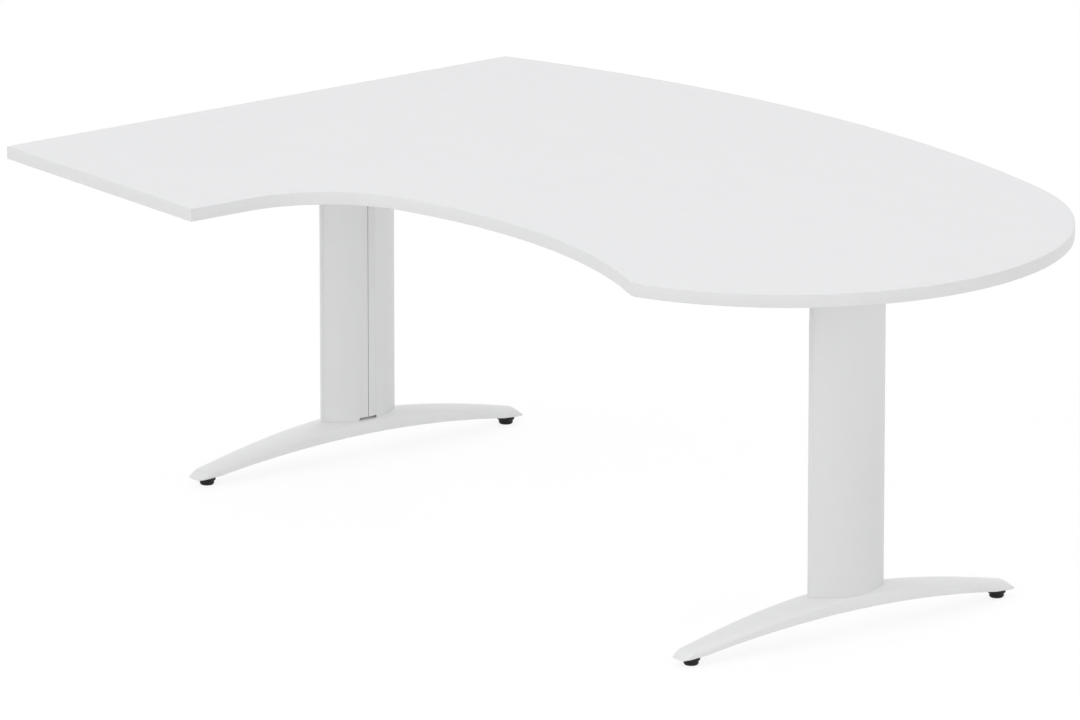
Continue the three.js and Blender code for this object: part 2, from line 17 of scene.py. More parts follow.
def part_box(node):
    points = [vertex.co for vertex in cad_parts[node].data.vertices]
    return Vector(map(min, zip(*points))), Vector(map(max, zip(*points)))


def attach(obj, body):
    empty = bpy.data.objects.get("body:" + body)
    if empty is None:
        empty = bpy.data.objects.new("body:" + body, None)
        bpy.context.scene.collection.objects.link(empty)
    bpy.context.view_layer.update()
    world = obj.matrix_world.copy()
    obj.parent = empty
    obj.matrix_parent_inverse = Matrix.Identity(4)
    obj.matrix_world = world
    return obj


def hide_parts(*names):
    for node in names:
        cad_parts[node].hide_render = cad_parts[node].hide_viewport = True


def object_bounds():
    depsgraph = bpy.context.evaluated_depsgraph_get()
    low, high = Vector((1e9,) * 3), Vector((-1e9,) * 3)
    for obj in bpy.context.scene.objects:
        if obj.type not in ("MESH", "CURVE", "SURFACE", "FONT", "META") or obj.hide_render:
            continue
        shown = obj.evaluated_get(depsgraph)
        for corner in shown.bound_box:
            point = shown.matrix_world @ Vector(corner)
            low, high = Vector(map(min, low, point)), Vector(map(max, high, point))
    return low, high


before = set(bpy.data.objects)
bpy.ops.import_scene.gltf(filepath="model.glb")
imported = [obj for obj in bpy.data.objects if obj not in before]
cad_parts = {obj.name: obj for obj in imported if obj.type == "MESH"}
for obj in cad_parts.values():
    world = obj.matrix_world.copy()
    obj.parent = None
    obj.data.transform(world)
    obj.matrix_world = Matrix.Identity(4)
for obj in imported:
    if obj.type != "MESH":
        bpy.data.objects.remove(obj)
solid_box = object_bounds()
mm = 0.001


def box(solid):
    """A solid's lowest and highest corner."""
    return [Vector(corner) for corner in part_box(solid)]


print("solids:", len(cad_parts), "box:", solid_box)

# %% [markdown]
# ## The camera
# A catalogue picture of furniture is taken from far away with a long lens, so that edges stay nearly
# parallel. The vanishing of the top's straight edges gives the distance, about 22 m, and the lens.
# The camera is placed and turned by these values alone and isn't shifted.

# %% Camera
view_azimuth, view_elevation = 52.731, 15.243
camera_place = Vector((16.795, -12.919, 6.164))
photo_width_pixels = 1080
focal_length_pixels = 11677
clip_distance = 200.0


def direction(azimuth, elevation):
    """A unit vector by degrees, where azimuth 0 is the user's side."""
    turn, rise = math.radians(azimuth), math.radians(elevation)
    level = math.cos(rise)
    return Vector((math.sin(turn) * level, -math.cos(turn) * level, math.sin(rise)))


def add_object(name, data):
    made = bpy.data.objects.new(name, data)
    bpy.context.scene.collection.objects.link(made)
    return made


def place_at(made, place, turn):
    made.location = place
    made.rotation_mode = "QUATERNION"
    made.rotation_quaternion = turn


camera = add_object("camera", bpy.data.cameras.new("camera"))
camera.data.lens = camera.data.sensor_width * focal_length_pixels / photo_width_pixels
camera.data.clip_end = clip_distance
place_at(camera, camera_place, (-direction(view_azimuth, view_elevation)).to_track_quat("-Z", "Y"))
bpy.context.scene.camera = camera
print("lens in mm:", round(camera.data.lens, 1))

# %% [markdown]
# ## Sums on nodes
# Finishes and rule-made shapes are both node trees, and both need sums. A small class wraps a node's
# output so that Python's own operators add the Math nodes: `0.4 + 0.1 * grain` reads as what it does.
# A second class adds any other node by one method, with its settings set before its sockets.

# %% Wires and graphs
def sums(operation, reflected=False):
    """An operator's method, which adds a Math node."""
    def method(self, value):
        return self.graph.maths(operation, *((value, self) if reflected else (self, value)))
    return method


class Wire:
    """A node's output that takes part in sums."""
    __add__, __radd__ = sums("ADD"), sums("ADD", reflected=True)
    __sub__, __rsub__ = sums("SUBTRACT"), sums("SUBTRACT", reflected=True)
    __mul__, __rmul__ = sums("MULTIPLY"), sums("MULTIPLY", reflected=True)
    __truediv__, __pow__ = sums("DIVIDE"), sums("POWER")
    __gt__, __lt__ = sums("GREATER_THAN"), sums("LESS_THAN")

    def __init__(self, graph, socket):
        self.graph, self.socket = graph, socket

    def __abs__(self):
        return self.graph.maths("ABSOLUTE", self)

    def other(self, name):
        """Another output of the same node."""
        return Wire(self.graph, self.socket.node.outputs[name])


class Graph:
    """A node tree in the making."""

    def __init__(self, tree):
        self.tree = tree
        tree.nodes.clear()

    def node(self, kind, inputs=None, **settings):
        """Adds a node and returns its first output; a list feeds a many-wire socket."""
        made = self.tree.nodes.new(kind)
        for name, value in settings.items():
            setattr(made, name, value)
        for key, value in (inputs or {}).items():
            for item in value if isinstance(value, list) else [value]:
                if isinstance(item, Wire):
                    self.tree.links.new(item.socket, made.inputs[key])
                else:
                    made.inputs[key].default_value = item
        return Wire(self, made.outputs[0]) if made.outputs else None

    def maths(self, operation, *values):
        return self.node("ShaderNodeMath", dict(enumerate(values)), operation=operation)

    def least(self, a, b):
        return self.maths("MINIMUM", a, b)

    def most(self, a, b):
        return self.maths("MAXIMUM", a, b)

    def choose(self, mask, low, high):
        """The low value where the mask is 0 and the high one where it is 1."""
        return self.node("ShaderNodeMix", {0: mask, 2: low, 3: high}, data_type="FLOAT")


print("operators:", [name for name in vars(Wire) if name.startswith("__r")])

# %% [markdown]
# ## Surfaces
# Every finish reads Object coordinates in metres, so a pattern keeps its real size: `noise(0.9 * mm)`
# makes lumps about 0.9 mm across. Colour, roughness and a bump are all that vary over a surface; the
# other sockets hold constants.

# %% A surface graph
class Surface(Graph):
    """A material's tree round one Principled shader."""

    def __init__(self, name):
        self.material = bpy.data.materials.new(name)
        self.material.use_nodes = True
        super().__init__(self.material.node_tree)
        self.place = self.node("ShaderNodeTexCoord").other("Object")

    def scaled(self, *sizes):
        """Object coordinates in steps of the given sizes."""
        scale = Vector([1 / size for size in sizes])
        return self.node("ShaderNodeMapping", {"Vector": self.place, "Scale": scale})

    def noise(self, size, detail=2.0, stretch=(1, 1, 1)):
        """Soft lumps of a real size, drawn out along the axes where stretch is over 1."""
        moved = self.scaled(*(size * s for s in stretch))
        return self.node("ShaderNodeTexNoise", {"Vector": moved, "Scale": 1.0, "Detail": detail})

    def tint(self, mask, low, high):
        """A colour between two, by a mask."""
        wires = {0: mask, 6: (*low, 1), 7: (*high, 1)}
        return self.node("ShaderNodeMix", wires, data_type="RGBA").other(2)

    def finish(self, colour, roughness, height, depth, constants):
        """Wires the shader: height is the bump's field and depth its reach in metres."""
        relief = {"Height": height, "Distance": depth, "Strength": 1.0}
        sockets = {"Base Color": colour, "Roughness": roughness,
                   "Normal": self.node("ShaderNodeBump", relief), **constants}
        shader = self.node("ShaderNodeBsdfPrincipled", sockets)
        self.node("ShaderNodeOutputMaterial", {"Surface": shader})
        print(self.material.name, len(self.tree.nodes), "nodes")
        return self.material


# %% [markdown]
# ## The desktop's melamine
# The top is chipboard under white melamine paper. The press plate leaves a fine pearl grain in it,
# which breaks the gloss, and the white has a trace of blue. A painted texture could hold the grain,
# but noise at the real size costs nothing and never repeats: fine lumps for the bump, and wide faint
# clouds for the colour and the gloss.

# %% Melamine
surface = Surface("white_melamine")
pearl = surface.noise(0.8 * mm)
wipe = surface.noise(60 * mm, stretch=(3, 1, 1))
colour = surface.tint(wipe, (0.790, 0.793, 0.806), (0.820, 0.822, 0.833))
melamine = surface.finish(colour, 0.36 + 0.08 * wipe + 0.05 * pearl, pearl, 0.012 * mm, {"IOR": 1.5})

# %% [markdown]
# ## The edging's ABS
# The 2 mm strip round the top is extruded ABS, a little greyer and smoother than the melamine. The
# extruder leaves very fine lines along its length, and the scraper that rounds its corners a soft
# satin sheen. The lines run level all round, so a noise drawn out along X and Y and short in Z is
# enough.

# %% Edging
surface = Surface("white_edging")
lines = surface.noise(0.5 * mm, stretch=(40, 40, 1))
cloud = surface.noise(35 * mm)
colour = surface.tint(cloud, (0.757, 0.759, 0.765), (0.777, 0.779, 0.785))
edging = surface.finish(colour, 0.33 + 0.06 * cloud + 0.06 * lines, lines, 0.008 * mm, {"IOR": 1.5})

# %% [markdown]
# ## The powder coat
# The steel is powder coated. The melted powder flows into the low waves that painters call orange
# peel, about 2 mm apart, with a fine tooth over them. Two noises of those sizes make the bump, and a
# wide one lets the shade drift. The feet take a paler copy of the same coat, which is painted light:
# it stands in for the brighter light that falls on the feet.

# %% Powder coat
def make_powder_coat(name, dark, pale):
    surface = Surface(name)
    peel = surface.noise(1.9 * mm, detail=1.0)
    tooth = surface.noise(0.35 * mm)
    cloud = surface.noise(90 * mm)
    colour = surface.tint(cloud, dark, pale)
    roughness = 0.40 + 0.08 * cloud + 0.05 * tooth
    return surface.finish(colour, roughness, peel + 0.25 * tooth, 0.03 * mm, {"IOR": 1.5})


powder_coat = make_powder_coat("white_powder_coat", (0.740, 0.742, 0.745), (0.762, 0.764, 0.767))
# Painted light: the feet's coat is the same powder coat made paler, standing in for the brighter light
# on the feet.
foot_coat_painted_lighter = make_powder_coat("white_cast_coat", (0.824, 0.826, 0.828), (0.844, 0.846, 0.848))

# %% [markdown]
# ## Zinc plate
# Screws and base plates are zinc plated. The plating grows in small crystals of slightly different
# grey, which a cell pattern gives: each cell takes one random shade, and the same shade makes its
# gloss differ a little.

# %% Zinc
surface = Surface("zinc_plate")
crystal = 1.6 * mm
spots = {"Vector": surface.scaled(crystal, crystal, crystal), "Scale": 1.0}
cells = surface.node("ShaderNodeTexVoronoi", spots).other("Color")
shade = surface.node("ShaderNodeSeparateColor", {"Color": cells})
tooth = surface.noise(0.25 * mm)
colour = surface.tint(shade, (0.50, 0.51, 0.53), (0.62, 0.63, 0.65))
zinc = surface.finish(colour, 0.26 + 0.12 * shade + 0.08 * tooth, tooth, 0.01 * mm, {"Metallic": 1.0})

# %% [markdown]
# ## Moulded nylon
# The glides are black nylon and the clips inside the columns grey. Spark-eroded moulds give both a
# fine leather-like grain. A glide's sole rubs on the floor, so below its rounded edge it is scuffed
# to a duller, paler black. The fine grain also swallows most of the mirror reflection, so the
# specular level is low.

# %% Nylon
def make_nylon(name, dark, pale, scuff_height):
    surface = Surface(name)
    grain = surface.noise(0.45 * mm, detail=3.0)
    cloud = surface.noise(7 * mm)
    height = surface.node("ShaderNodeSeparateXYZ", {"Vector": surface.place}).other("Z")
    scuff = (height < scuff_height) * (surface.noise(0.7 * mm, stretch=(6, 1, 1)) > 0.48)
    colour = surface.tint(0.7 * cloud + 0.3 * scuff, dark, pale)
    roughness = 0.42 + 0.1 * grain + 0.25 * scuff
    constants = {"IOR": 1.53, "Specular IOR Level": 0.2}
    return surface.finish(colour, roughness, grain, 0.02 * mm, constants)


black_nylon = make_nylon("moulded_black_nylon", (0.012, 0.012, 0.013), (0.024, 0.024, 0.026), 1.2 * mm)
grey_nylon = make_nylon("moulded_grey_nylon", (0.300, 0.310, 0.325), (0.345, 0.355, 0.370), 0.0)

# %% [markdown]
# ## The studio
# The photograph is a cut-out: pale, nearly shadowless light on a white page. The world is white where
# the camera, a reflection or a look through glass meets it, and a dome for everything else, brightest
# at the horizon, so that light also comes in under the top.

# %% World
horizon_strength, zenith_strength = 0.62, 0.22
white = (1, 1, 1, 1)


def seen_ray(graph):
    """1 for the rays that see the background, 0 for those that light the object."""
    path = graph.node("ShaderNodeLightPath")
    seen = graph.most(path, path.other("Is Glossy Ray"))
    return graph.most(seen, path.other("Is Transmission Ray"))


world = bpy.context.scene.world = bpy.data.worlds.new("studio")
world.use_nodes = True
graph = Graph(world.node_tree)
ray = graph.node("ShaderNodeTexCoord")
share = graph.most(graph.node("ShaderNodeSeparateXYZ", {"Vector": ray}).other("Z"), 0.0)
strength = horizon_strength + (zenith_strength - horizon_strength) * share
dome, page = (graph.node("ShaderNodeBackground", {"Color": white, "Strength": power})
              for power in (strength, 1.0))
mixed = graph.node("ShaderNodeMixShader", {0: seen_ray(graph), 1: dome, 2: page})
graph.node("ShaderNodeOutputWorld", {"Surface": mixed})
bpy.context.scene.view_settings.view_transform = "Standard"
print("dome from", horizon_strength, "at the horizon to", zenith_strength)

# %% [markdown]
# One large square lamp hangs above, so its shadow has no edge. Under a wide top the dome alone would
# leave the legs in the dark, where a photographer puts up reflectors all round. Soft sun lamps stand
# for them: three low ones from the user's side, the round end and behind, and one from above.
# Reflectors stand so near that the top doesn't shade the legs from them, but a seam or a slot in a
# leg stays dark. Light linking says the same: only the legs' pieces, which are put in one collection,
# block these lamps, except the front one, which everything blocks.

# %% Lamps
aim = Vector((0.0, 0.0, 0.4))
lamp_place, lamp_power, lamp_size = Vector((0.6, -0.8, 5.0)), 24.0, 4.0
reflector_distance, reflector_spread = 4.0, 60
reflectors = (  # name, azimuth, elevation, power, whether only the legs block it
    ("front", 0, 20, 1.10, False),
    ("end", 105, 20, 0.74, True),
    ("back", 225, 20, 0.95, True),
    ("above", 0, 90, 0.62, True),
)


def add_lamp(name, kind, place, power):
    lamp = add_object(name, bpy.data.lights.new(name, kind))
    lamp.data.energy = power
    place_at(lamp, place, (place - aim).to_track_quat("Z", "Y"))
    return lamp


add_lamp("lamp_above", "AREA", lamp_place, lamp_power).data.size = lamp_size
leg_pieces = bpy.data.collections.new("leg_pieces")
for name, azimuth, elevation, power, legs_alone in reflectors:
    place = aim + reflector_distance * direction(azimuth, elevation)
    lamp = add_lamp("reflector_" + name, "SUN", place, power)
    lamp.data.angle = math.radians(reflector_spread)
    lamp.visible_glossy = False
    if legs_alone:
        lamp.light_linking.blocker_collection = leg_pieces

# %% [markdown]
# The floor is a wide pale sheet. To the camera it glows almost white by itself and takes about a
# sixth of its tone from the light, so the desk's shadow stays as a soft trace. To all other light it
# is a plain pale floor that throws light back up under the top.

# %% Floor
floor_half, floor_depth = 60.0, 0.2 * mm
floor_glow, floor_shade, floor_bounce = 0.86, 0.16, 0.88
square = ((-1, -1), (1, -1), (1, 1), (-1, 1))


def mesh_of(name, points, edges=(), faces=()):
    mesh = bpy.data.meshes.new(name)
    mesh.from_pydata(points, edges, faces)
    return mesh


surface = Surface("studio_floor")
glow = surface.node("ShaderNodeEmission", {"Color": white, "Strength": floor_glow})
shaded, plain = (surface.node("ShaderNodeBsdfDiffuse", {"Color": (tone, tone, tone, 1)})
                 for tone in (floor_shade, floor_bounce))
page = surface.node("ShaderNodeAddShader", {0: glow, 1: shaded})
mixed = surface.node("ShaderNodeMixShader", {0: seen_ray(surface), 1: plain, 2: page})
surface.node("ShaderNodeOutputMaterial", {"Surface": mixed})
corners = [(x * floor_half, y * floor_half, -floor_depth) for x, y in square]
mesh = mesh_of("floor", corners, faces=[(0, 1, 2, 3)])
mesh.materials.append(surface.material)
add_object("floor", mesh)
print("floor:", 2 * floor_half, "m wide")

# %% [markdown]
# ## Mesh helpers
# A finished piece is one object at the origin with its place in its mesh. It takes a material, rides
# on a body and stands for its solids. The helper that does all three keeps every piece alike, and puts
# what belongs to a leg into the collection that the reflectors know.

# %% Pieces
def settle(piece, material, slot, body, *solids):
    """Gives a piece its finish and its body, and hides the solids it stands for."""
    piece.data.materials.clear()
    piece.data.materials.append(material)
    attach(piece, body)
    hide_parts(*solids)
    if piece.name.startswith(("left_", "right_")):
        leg_pieces.objects.link(piece)
    piece.data.update()
    print(piece.name, "faces:", len(piece.data.polygons))


def baked(made):
    """Turns an object's modifiers into its plain mesh."""
    graph = bpy.context.evaluated_depsgraph_get()
    mesh = bpy.data.meshes.new_from_object(made.evaluated_get(graph))
    made.modifiers.clear()
    made.data = mesh
    return made


# %% [markdown]
# Soft edges make a model look real, because every real edge catches some light. The Bevel modifier
# rounds edges that fold by more than an angle. Faces that lie in one plane are first joined, so that
# it meets no needless edges.

# %% Soft edges
weld_distance = 0.002 * mm
plane_angle, bevel_angle = math.radians(0.2), math.radians(35)


def welded(mesh, work_on):
    """Welds a mesh and does one more thing to it."""
    work = bmesh.new()
    work.from_mesh(mesh)
    bmesh.ops.remove_doubles(work, verts=work.verts, dist=weld_distance)
    work_on(work)
    work.to_mesh(mesh)
    work.free()


def face_outwards(work):
    bmesh.ops.recalc_face_normals(work, faces=work.faces)


def join_planes(work):
    bmesh.ops.dissolve_limit(work, angle_limit=plane_angle, verts=work.verts, edges=work.edges)


def soften(made, width, segments=2):
    """Rounds the folded edges of an object and smooths its shading."""
    welded(made.data, join_planes)
    bevel = made.modifiers.new("bevel", "BEVEL")
    bevel.width, bevel.segments = width, segments
    bevel.limit_method, bevel.angle_limit = "ANGLE", bevel_angle
    bevel.harden_normals = True
    made.data.shade_smooth()
    return baked(made)


def smooth(made, fold=30.0):
    made.data.shade_smooth()
    made.data.set_sharp_from_angle(angle=math.radians(fold))
    return made


# %% [markdown]
# Plan shapes are lists of points. `stack` skins one ring over another and closes the ends, so a prism
# is a stack of two rings. `combine` joins or cuts with the Boolean modifier's Manifold solver, which
# keeps closed shapes closed.

# %% Stacks and cuts
def solid_mesh(name, points, faces):
    """An object with all its faces turned outwards."""
    mesh = mesh_of(name, points, faces=faces)
    welded(mesh, face_outwards)
    return add_object(name, mesh)


def stack(name, rings):
    """A closed body from rings of (x, y, z) points."""
    size = len(rings[0])
    faces = [tuple(range(size - 1, -1, -1))]
    for level in range(len(rings) - 1):
        for i in range(size):
            a, b = level * size + i, level * size + (i + 1) % size
            faces.append((a, b, b + size, a + size))
    top = (len(rings) - 1) * size
    faces.append(tuple(range(top, top + size)))
    return solid_mesh(name, [point for ring in rings for point in ring], faces)


def prism(name, outline, low, high, axis="Z"):
    """An outline drawn out along an axis: it is in (x, y), (x, z) along Y or (y, z) along X."""
    spot = 2 - "ZYX".index(axis)
    return stack(name, [[(*point[:spot], level, *point[spot:]) for point in outline]
                        for level in (low, high)])


def block(name, x0, x1, y0, y1, z0, z1):
    return prism(name, [(x0, y0), (x1, y0), (x1, y1), (x0, y1)], z0, z1)


def combine(made, operation, *tools):
    """Joins or cuts a body with others, which are used up."""
    for tool in tools:
        modifier = made.modifiers.new(operation, "BOOLEAN")
        modifier.operation, modifier.solver, modifier.object = operation, "MANIFOLD", tool
    baked(made)
    for tool in tools:
        bpy.data.objects.remove(tool)
    return made


def cut(made, *tools):
    return combine(made, "DIFFERENCE", *tools)


# %% [markdown]
# ## The top's outline
# Seen from above the top is a chain of arcs that run into each other without a corner: the return
# end's inner side, the corner arc, the wide recess for the user, the small nose, the round end and
# the long back arc. Freehand curves could be fitted to the photograph, but a joiner's template is
# drawn with a compass, so the same few radii give it exactly. Two arcs run into each other on the
# line through their centres, so the bearing of that line says where one ends and the next starts.

# %% Outline centres
desk_low, desk_high = (Vector(corner) for corner in solid_box)
return_edge = box("edge_band_front")[1].x
back_drop = 213 * mm
back_crown_from_right = 882 * mm
round_end_reach = 122 * mm
recess_radius = 1100 * mm
recess_crown_from_left = 1093 * mm
recess_depth = 410 * mm
recess_corner_radius = 240 * mm
nose_radius = 30 * mm


def arc_radius(half_chord, rise):
    return (half_chord ** 2 + rise ** 2) / (2 * rise)


def circles_meet(a, radius_a, b, radius_b):
    """Where two circles meet, on the left of the line from a to b."""
    way = b - a
    along = (radius_a ** 2 - radius_b ** 2 + way.length ** 2) / (2 * way.length)
    aside = math.sqrt(radius_a ** 2 - along ** 2)
    forward = way.normalized()
    return a + forward * along + Vector((-forward.y, forward.x)) * aside


back_crown_x = desk_high.x - back_crown_from_right
back_radius = arc_radius(back_crown_x - desk_low.x, back_drop)
recess_crown_y = desk_low.y + recess_depth
rise = recess_crown_y - round_end_reach - desk_high.y + back_radius
half = rise - back_crown_from_right + back_radius
end_radius = math.sqrt(half ** 2 + back_radius ** 2 - rise ** 2 - back_crown_from_right ** 2) - half
back_centre = Vector((back_crown_x, desk_high.y - back_radius))
end_centre = Vector((desk_high.x - end_radius, recess_crown_y - round_end_reach + end_radius))
recess_centre = Vector((desk_low.x + recess_crown_from_left, recess_crown_y - recess_radius))
corner_x = return_edge + recess_corner_radius
corner_reach = math.sqrt((recess_radius - recess_corner_radius) ** 2
                         - (corner_x - recess_centre.x) ** 2)
corner_centre = Vector((corner_x, recess_centre.y + corner_reach))
nose_centre = circles_meet(end_centre, end_radius - nose_radius, recess_centre,
                           recess_radius + nose_radius)
print("round end radius in mm:", round(end_radius / mm, 2))

# %% [markdown]
# The outline is wanted several times: as it is for the edging strip's path, and drawn in a little for
# the board's rim, which is a hair smaller at both faces. The number of chords comes from the full
# radius, so these outlines have equal counts and can be skinned to each other.

# %% Outline points
chord_error = 0.004 * mm
band_thickness = 2 * mm


def arc(centre, radius, start, turn, steps):
    """Points on an arc from an angle on through a turn."""
    angles = [start + turn * step / steps for step in range(steps + 1)]
    return [centre + radius * Vector((math.cos(a), math.sin(a))) for a in angles]


def arc_points(centre, radius, inset, start, end):
    """Points on an arc, whose count follows the radius before the inset."""
    step = 2 * math.acos(1 - chord_error / radius)
    return arc(centre, radius + inset, start, end - start, math.ceil(abs(end - start) / step))


def bearing(start, end):
    return math.atan2(end.y - start.y, end.x - start.x)


def wave_run(inset, start_y, end_x):
    """The run from the return end's inner side round to the back's left corner."""
    recess_to_corner = bearing(recess_centre, corner_centre)
    recess_to_nose = bearing(recess_centre, nose_centre)
    end_to_nose = bearing(end_centre, nose_centre)
    back_to_end = bearing(back_centre, end_centre)
    last = math.acos((end_x - back_centre.x) / (back_radius - inset))
    arcs = [
        (corner_centre, recess_corner_radius, inset, math.pi, recess_to_corner),
        (recess_centre, recess_radius, inset, recess_to_corner, recess_to_nose),
        (nose_centre, nose_radius, -inset, recess_to_nose - math.pi, end_to_nose),
        (end_centre, end_radius, -inset, end_to_nose, back_to_end),
        (back_centre, back_radius, -inset, back_to_end, last),
    ]
    points = [Vector((return_edge - inset, start_y))]
    for number, values in enumerate(arcs):
        points += arc_points(*values)[1 if number else 0:]
    return points


def board_outline(inset):
    x, y = desk_low.x + inset, desk_low.y + inset
    return [Vector((x, y))] + wave_run(inset, y, x)


print("outline points:", len(board_outline(0)))

# %% [markdown]
# ## The desktop board
# The board is cut to the template, then its faces are pressed with melamine. It could be an extruded
# curve, but the faint break at its rim, where the paper ends at the edging, needs rings at slightly
# different insets. So the board is a stack of four outlines. It ends a hair's breadth inside the
# edging, as the glue line does.

# %% Board
board_low, board_high = box("desktop_board")
glue_line = 0.06 * mm
rim_break = 0.15 * mm
rim = band_thickness + glue_line
levels = [(rim + rim_break, board_low.z), (rim, board_low.z + rim_break),
          (rim, board_high.z - rim_break), (rim + rim_break, board_high.z)]
desktop = stack("desktop", [[(p.x, p.y, z) for p in board_outline(inset)] for inset, z in levels])
print("board faces:", len(desktop.data.polygons))

# %% [markdown]
# ## Sweeps, lofts and patterns as Geometry Nodes
# A Geometry Nodes tree is a recipe that Blender runs. This class writes one with named inputs for its
# sizes. The result is taken as a plain mesh and the modifier goes, so that nothing later depends on
# it.

# %% Shape trees
class Shape(Graph):
    """A Geometry Nodes tree in the making."""

    def __init__(self, name):
        super().__init__(bpy.data.node_groups.new(name, "GeometryNodeTree"))
        self.source = self.tree.nodes.new("NodeGroupInput")
        self.values = {}

    def size(self, name, value, kind="NodeSocketFloat"):
        """A named input and the value it takes."""
        socket = self.tree.interface.new_socket(name, in_out="INPUT", socket_type=kind)
        if value is not None:
            self.values[socket.identifier] = socket.default_value = value
        return Wire(self, self.source.outputs[name])

    def solid_of(self, name, made):
        """The shape of an object that is a named input."""
        source = self.size(name, made, "NodeSocketObject")
        return self.node("GeometryNodeObjectInfo", {"Object": source}).other("Geometry")

    def grid(self, columns, rows):
        """A flat grid a metre wide to be bent into shape, with each point's place across, the
        number of its row, and whether that is the first or the last one."""
        sheet = self.node("GeometryNodeMeshGrid", {
            "Size X": 1.0, "Size Y": 1.0, "Vertices X": columns, "Vertices Y": rows})
        place = self.node("GeometryNodeInputPosition")
        across = self.node("ShaderNodeSeparateXYZ", {"Vector": place})
        row = (across.other("Y") + 0.5) * (rows - 1)
        return sheet, across, row, (row < 0.5) + (row > (rows - 1.5))

    def bent(self, sheet, x, y, z, weld):
        """The grid with its points moved, and its seam and poles welded."""
        spot = self.node("ShaderNodeCombineXYZ", {"X": x, "Y": y, "Z": z})
        moved = self.node("GeometryNodeSetPosition", {"Geometry": sheet, "Position": spot})
        return self.node("GeometryNodeMergeByDistance", {"Geometry": moved, "Distance": weld})

    def close(self, geometry):
        self.tree.interface.new_socket("Geometry", in_out="OUTPUT",
                                       socket_type="NodeSocketGeometry")
        self.node("NodeGroupOutput", {"Geometry": geometry})
        return self

    def finish(self, geometry, material):
        real = self.node("GeometryNodeRealizeInstances", {"Geometry": geometry})
        coated = {"Geometry": real, "Material": material}
        return self.close(self.node("GeometryNodeSetMaterial", coated))


def grown(name, shape, seed=None):
    """Runs a tree once, on a seed mesh or on nothing, and keeps a plain mesh."""
    made = add_object(name, seed or bpy.data.meshes.new(name))
    modifier = made.modifiers.new(name, "NODES")
    modifier.node_group = shape.tree
    for identifier, value in shape.values.items():
        modifier[identifier] = value
    baked(made)
    welded(made.data, face_outwards)
    return made


# %% [markdown]
# ## The edging strips
# The machine presses a 2 mm strip along each run between two sharp corners, trims it flush, and
# scrapes both long edges round. Curve to Mesh does the same: a section follows a path. There are
# three runs, so the tree is written once. The curve's normals are set to Z Up, which keeps the
# section's width level.

# %% Edging tree
scraped_radius = 1.2 * mm
corner_steps = 5
strip_height = desk_high.z - board_low.z


def strip_section():
    """The strip's section, with x out from the path and y down from the top."""
    points = [(-band_thickness, strip_height, 0.0), (-band_thickness, 0.0, 0.0)]
    for centre_y, start in ((scraped_radius, -0.5), (strip_height - scraped_radius, 0.0)):
        for step in range(corner_steps + 1):
            angle = math.pi * (start + 0.5 * step / corner_steps)
            x = scraped_radius * (math.cos(angle) - 1)
            points.append((x, centre_y + scraped_radius * math.sin(angle), 0.0))
    return points


def chain(name, points, closed=False):
    """A mesh of straight edges to feed to a tree."""
    count = len(points)
    edges = [(i, (i + 1) % count) for i in range(count if closed else count - 1)]
    return mesh_of(name, points, edges)


section = add_object("strip_section", chain("strip_section", strip_section(), closed=True))
edging_shape = Shape("edging")
meshes = (edging_shape.size("Path", None, "NodeSocketGeometry"),
          edging_shape.solid_of("Section", section))
rail, ring = (edging_shape.node("GeometryNodeMeshToCurve", {"Mesh": mesh}) for mesh in meshes)
level = edging_shape.node("GeometryNodeSetCurveNormal", {"Curve": rail}, mode="Z_UP")
swept = {"Curve": level, "Profile Curve": ring, "Fill Caps": True}
edging_shape.finish(edging_shape.node("GeometryNodeCurveToMesh", swept), edging)
print("section points:", len(strip_section()))

# %% [markdown]
# A swept strip ends square to its path, but the trimmer saws its ends flush with the desk's straight
# sides or against the next strip. So the path runs on a little, and the points beyond a sawing plane
# slide back along the strip.

# %% Edging strips
strip_gap = 0.1 * mm


def sawn(made, corner, bearing_out):
    """Slides the last ring back along its strip until it lies in an upright plane."""
    place = Vector((corner.x, corner.y, desk_high.z))
    normal = Vector((math.cos(bearing_out), math.sin(bearing_out), 0.0))
    near = [v for v in made.data.vertices if (v.co - place).length < 2 * strip_height]
    for vertex in [v for v in near if (v.co - place).dot(normal) > 0]:
        links = [e for e in made.data.edges if vertex.index in e.vertices]
        others = [made.data.vertices[i].co for e in links for i in e.vertices if i != vertex.index]
        inner = min(others, key=lambda co: (co - place).dot(normal))
        way = (vertex.co - inner).normalized()
        vertex.co -= way * ((vertex.co - place).dot(normal) / way.dot(normal))


side_start = desk_low.y + band_thickness + strip_gap
back_corner = wave_run(0, side_start, desk_low.x)[-1]
left_corner = wave_run(band_thickness + strip_gap, side_start, desk_low.x)[-1]
paths = {
    "front": [Vector((desk_low.x, desk_low.y)), Vector((return_edge, desk_low.y))],
    "left": [Vector((desk_low.x, left_corner.y + band_thickness)),
             Vector((desk_low.x, side_start))],
    "wave": wave_run(0, side_start, desk_low.x - band_thickness),
}
strips = {run: grown("edging_" + run, edging_shape,
                     chain("edging_" + run, [(p.x, p.y, desk_high.z) for p in path]))
          for run, path in paths.items()}
bpy.data.objects.remove(section)
sawn(strips["left"], left_corner, bearing(back_centre, left_corner))
sawn(strips["wave"], back_corner, math.pi)
for run, strip in strips.items():
    settle(smooth(strip), edging, "edge_abs", "desk_frame", "edge_band_" + run)

# %% [markdown]
# ## The foot's rule
# Each foot is one coated casting: an arched bar, highest and widest in the middle, which narrows
# towards two blunt, rounded noses. Its top falls away from the column by a power of the distance and
# ends in a steep bevel, its underside is an arch whose ends dip a little, and its section is a drafted
# box under a round dome. All of this is a rule of one length, the distance `v` from the middle, so a
# grid of points is bent into shape by sums on fields: one way of the grid runs along the foot, the
# other round its section.

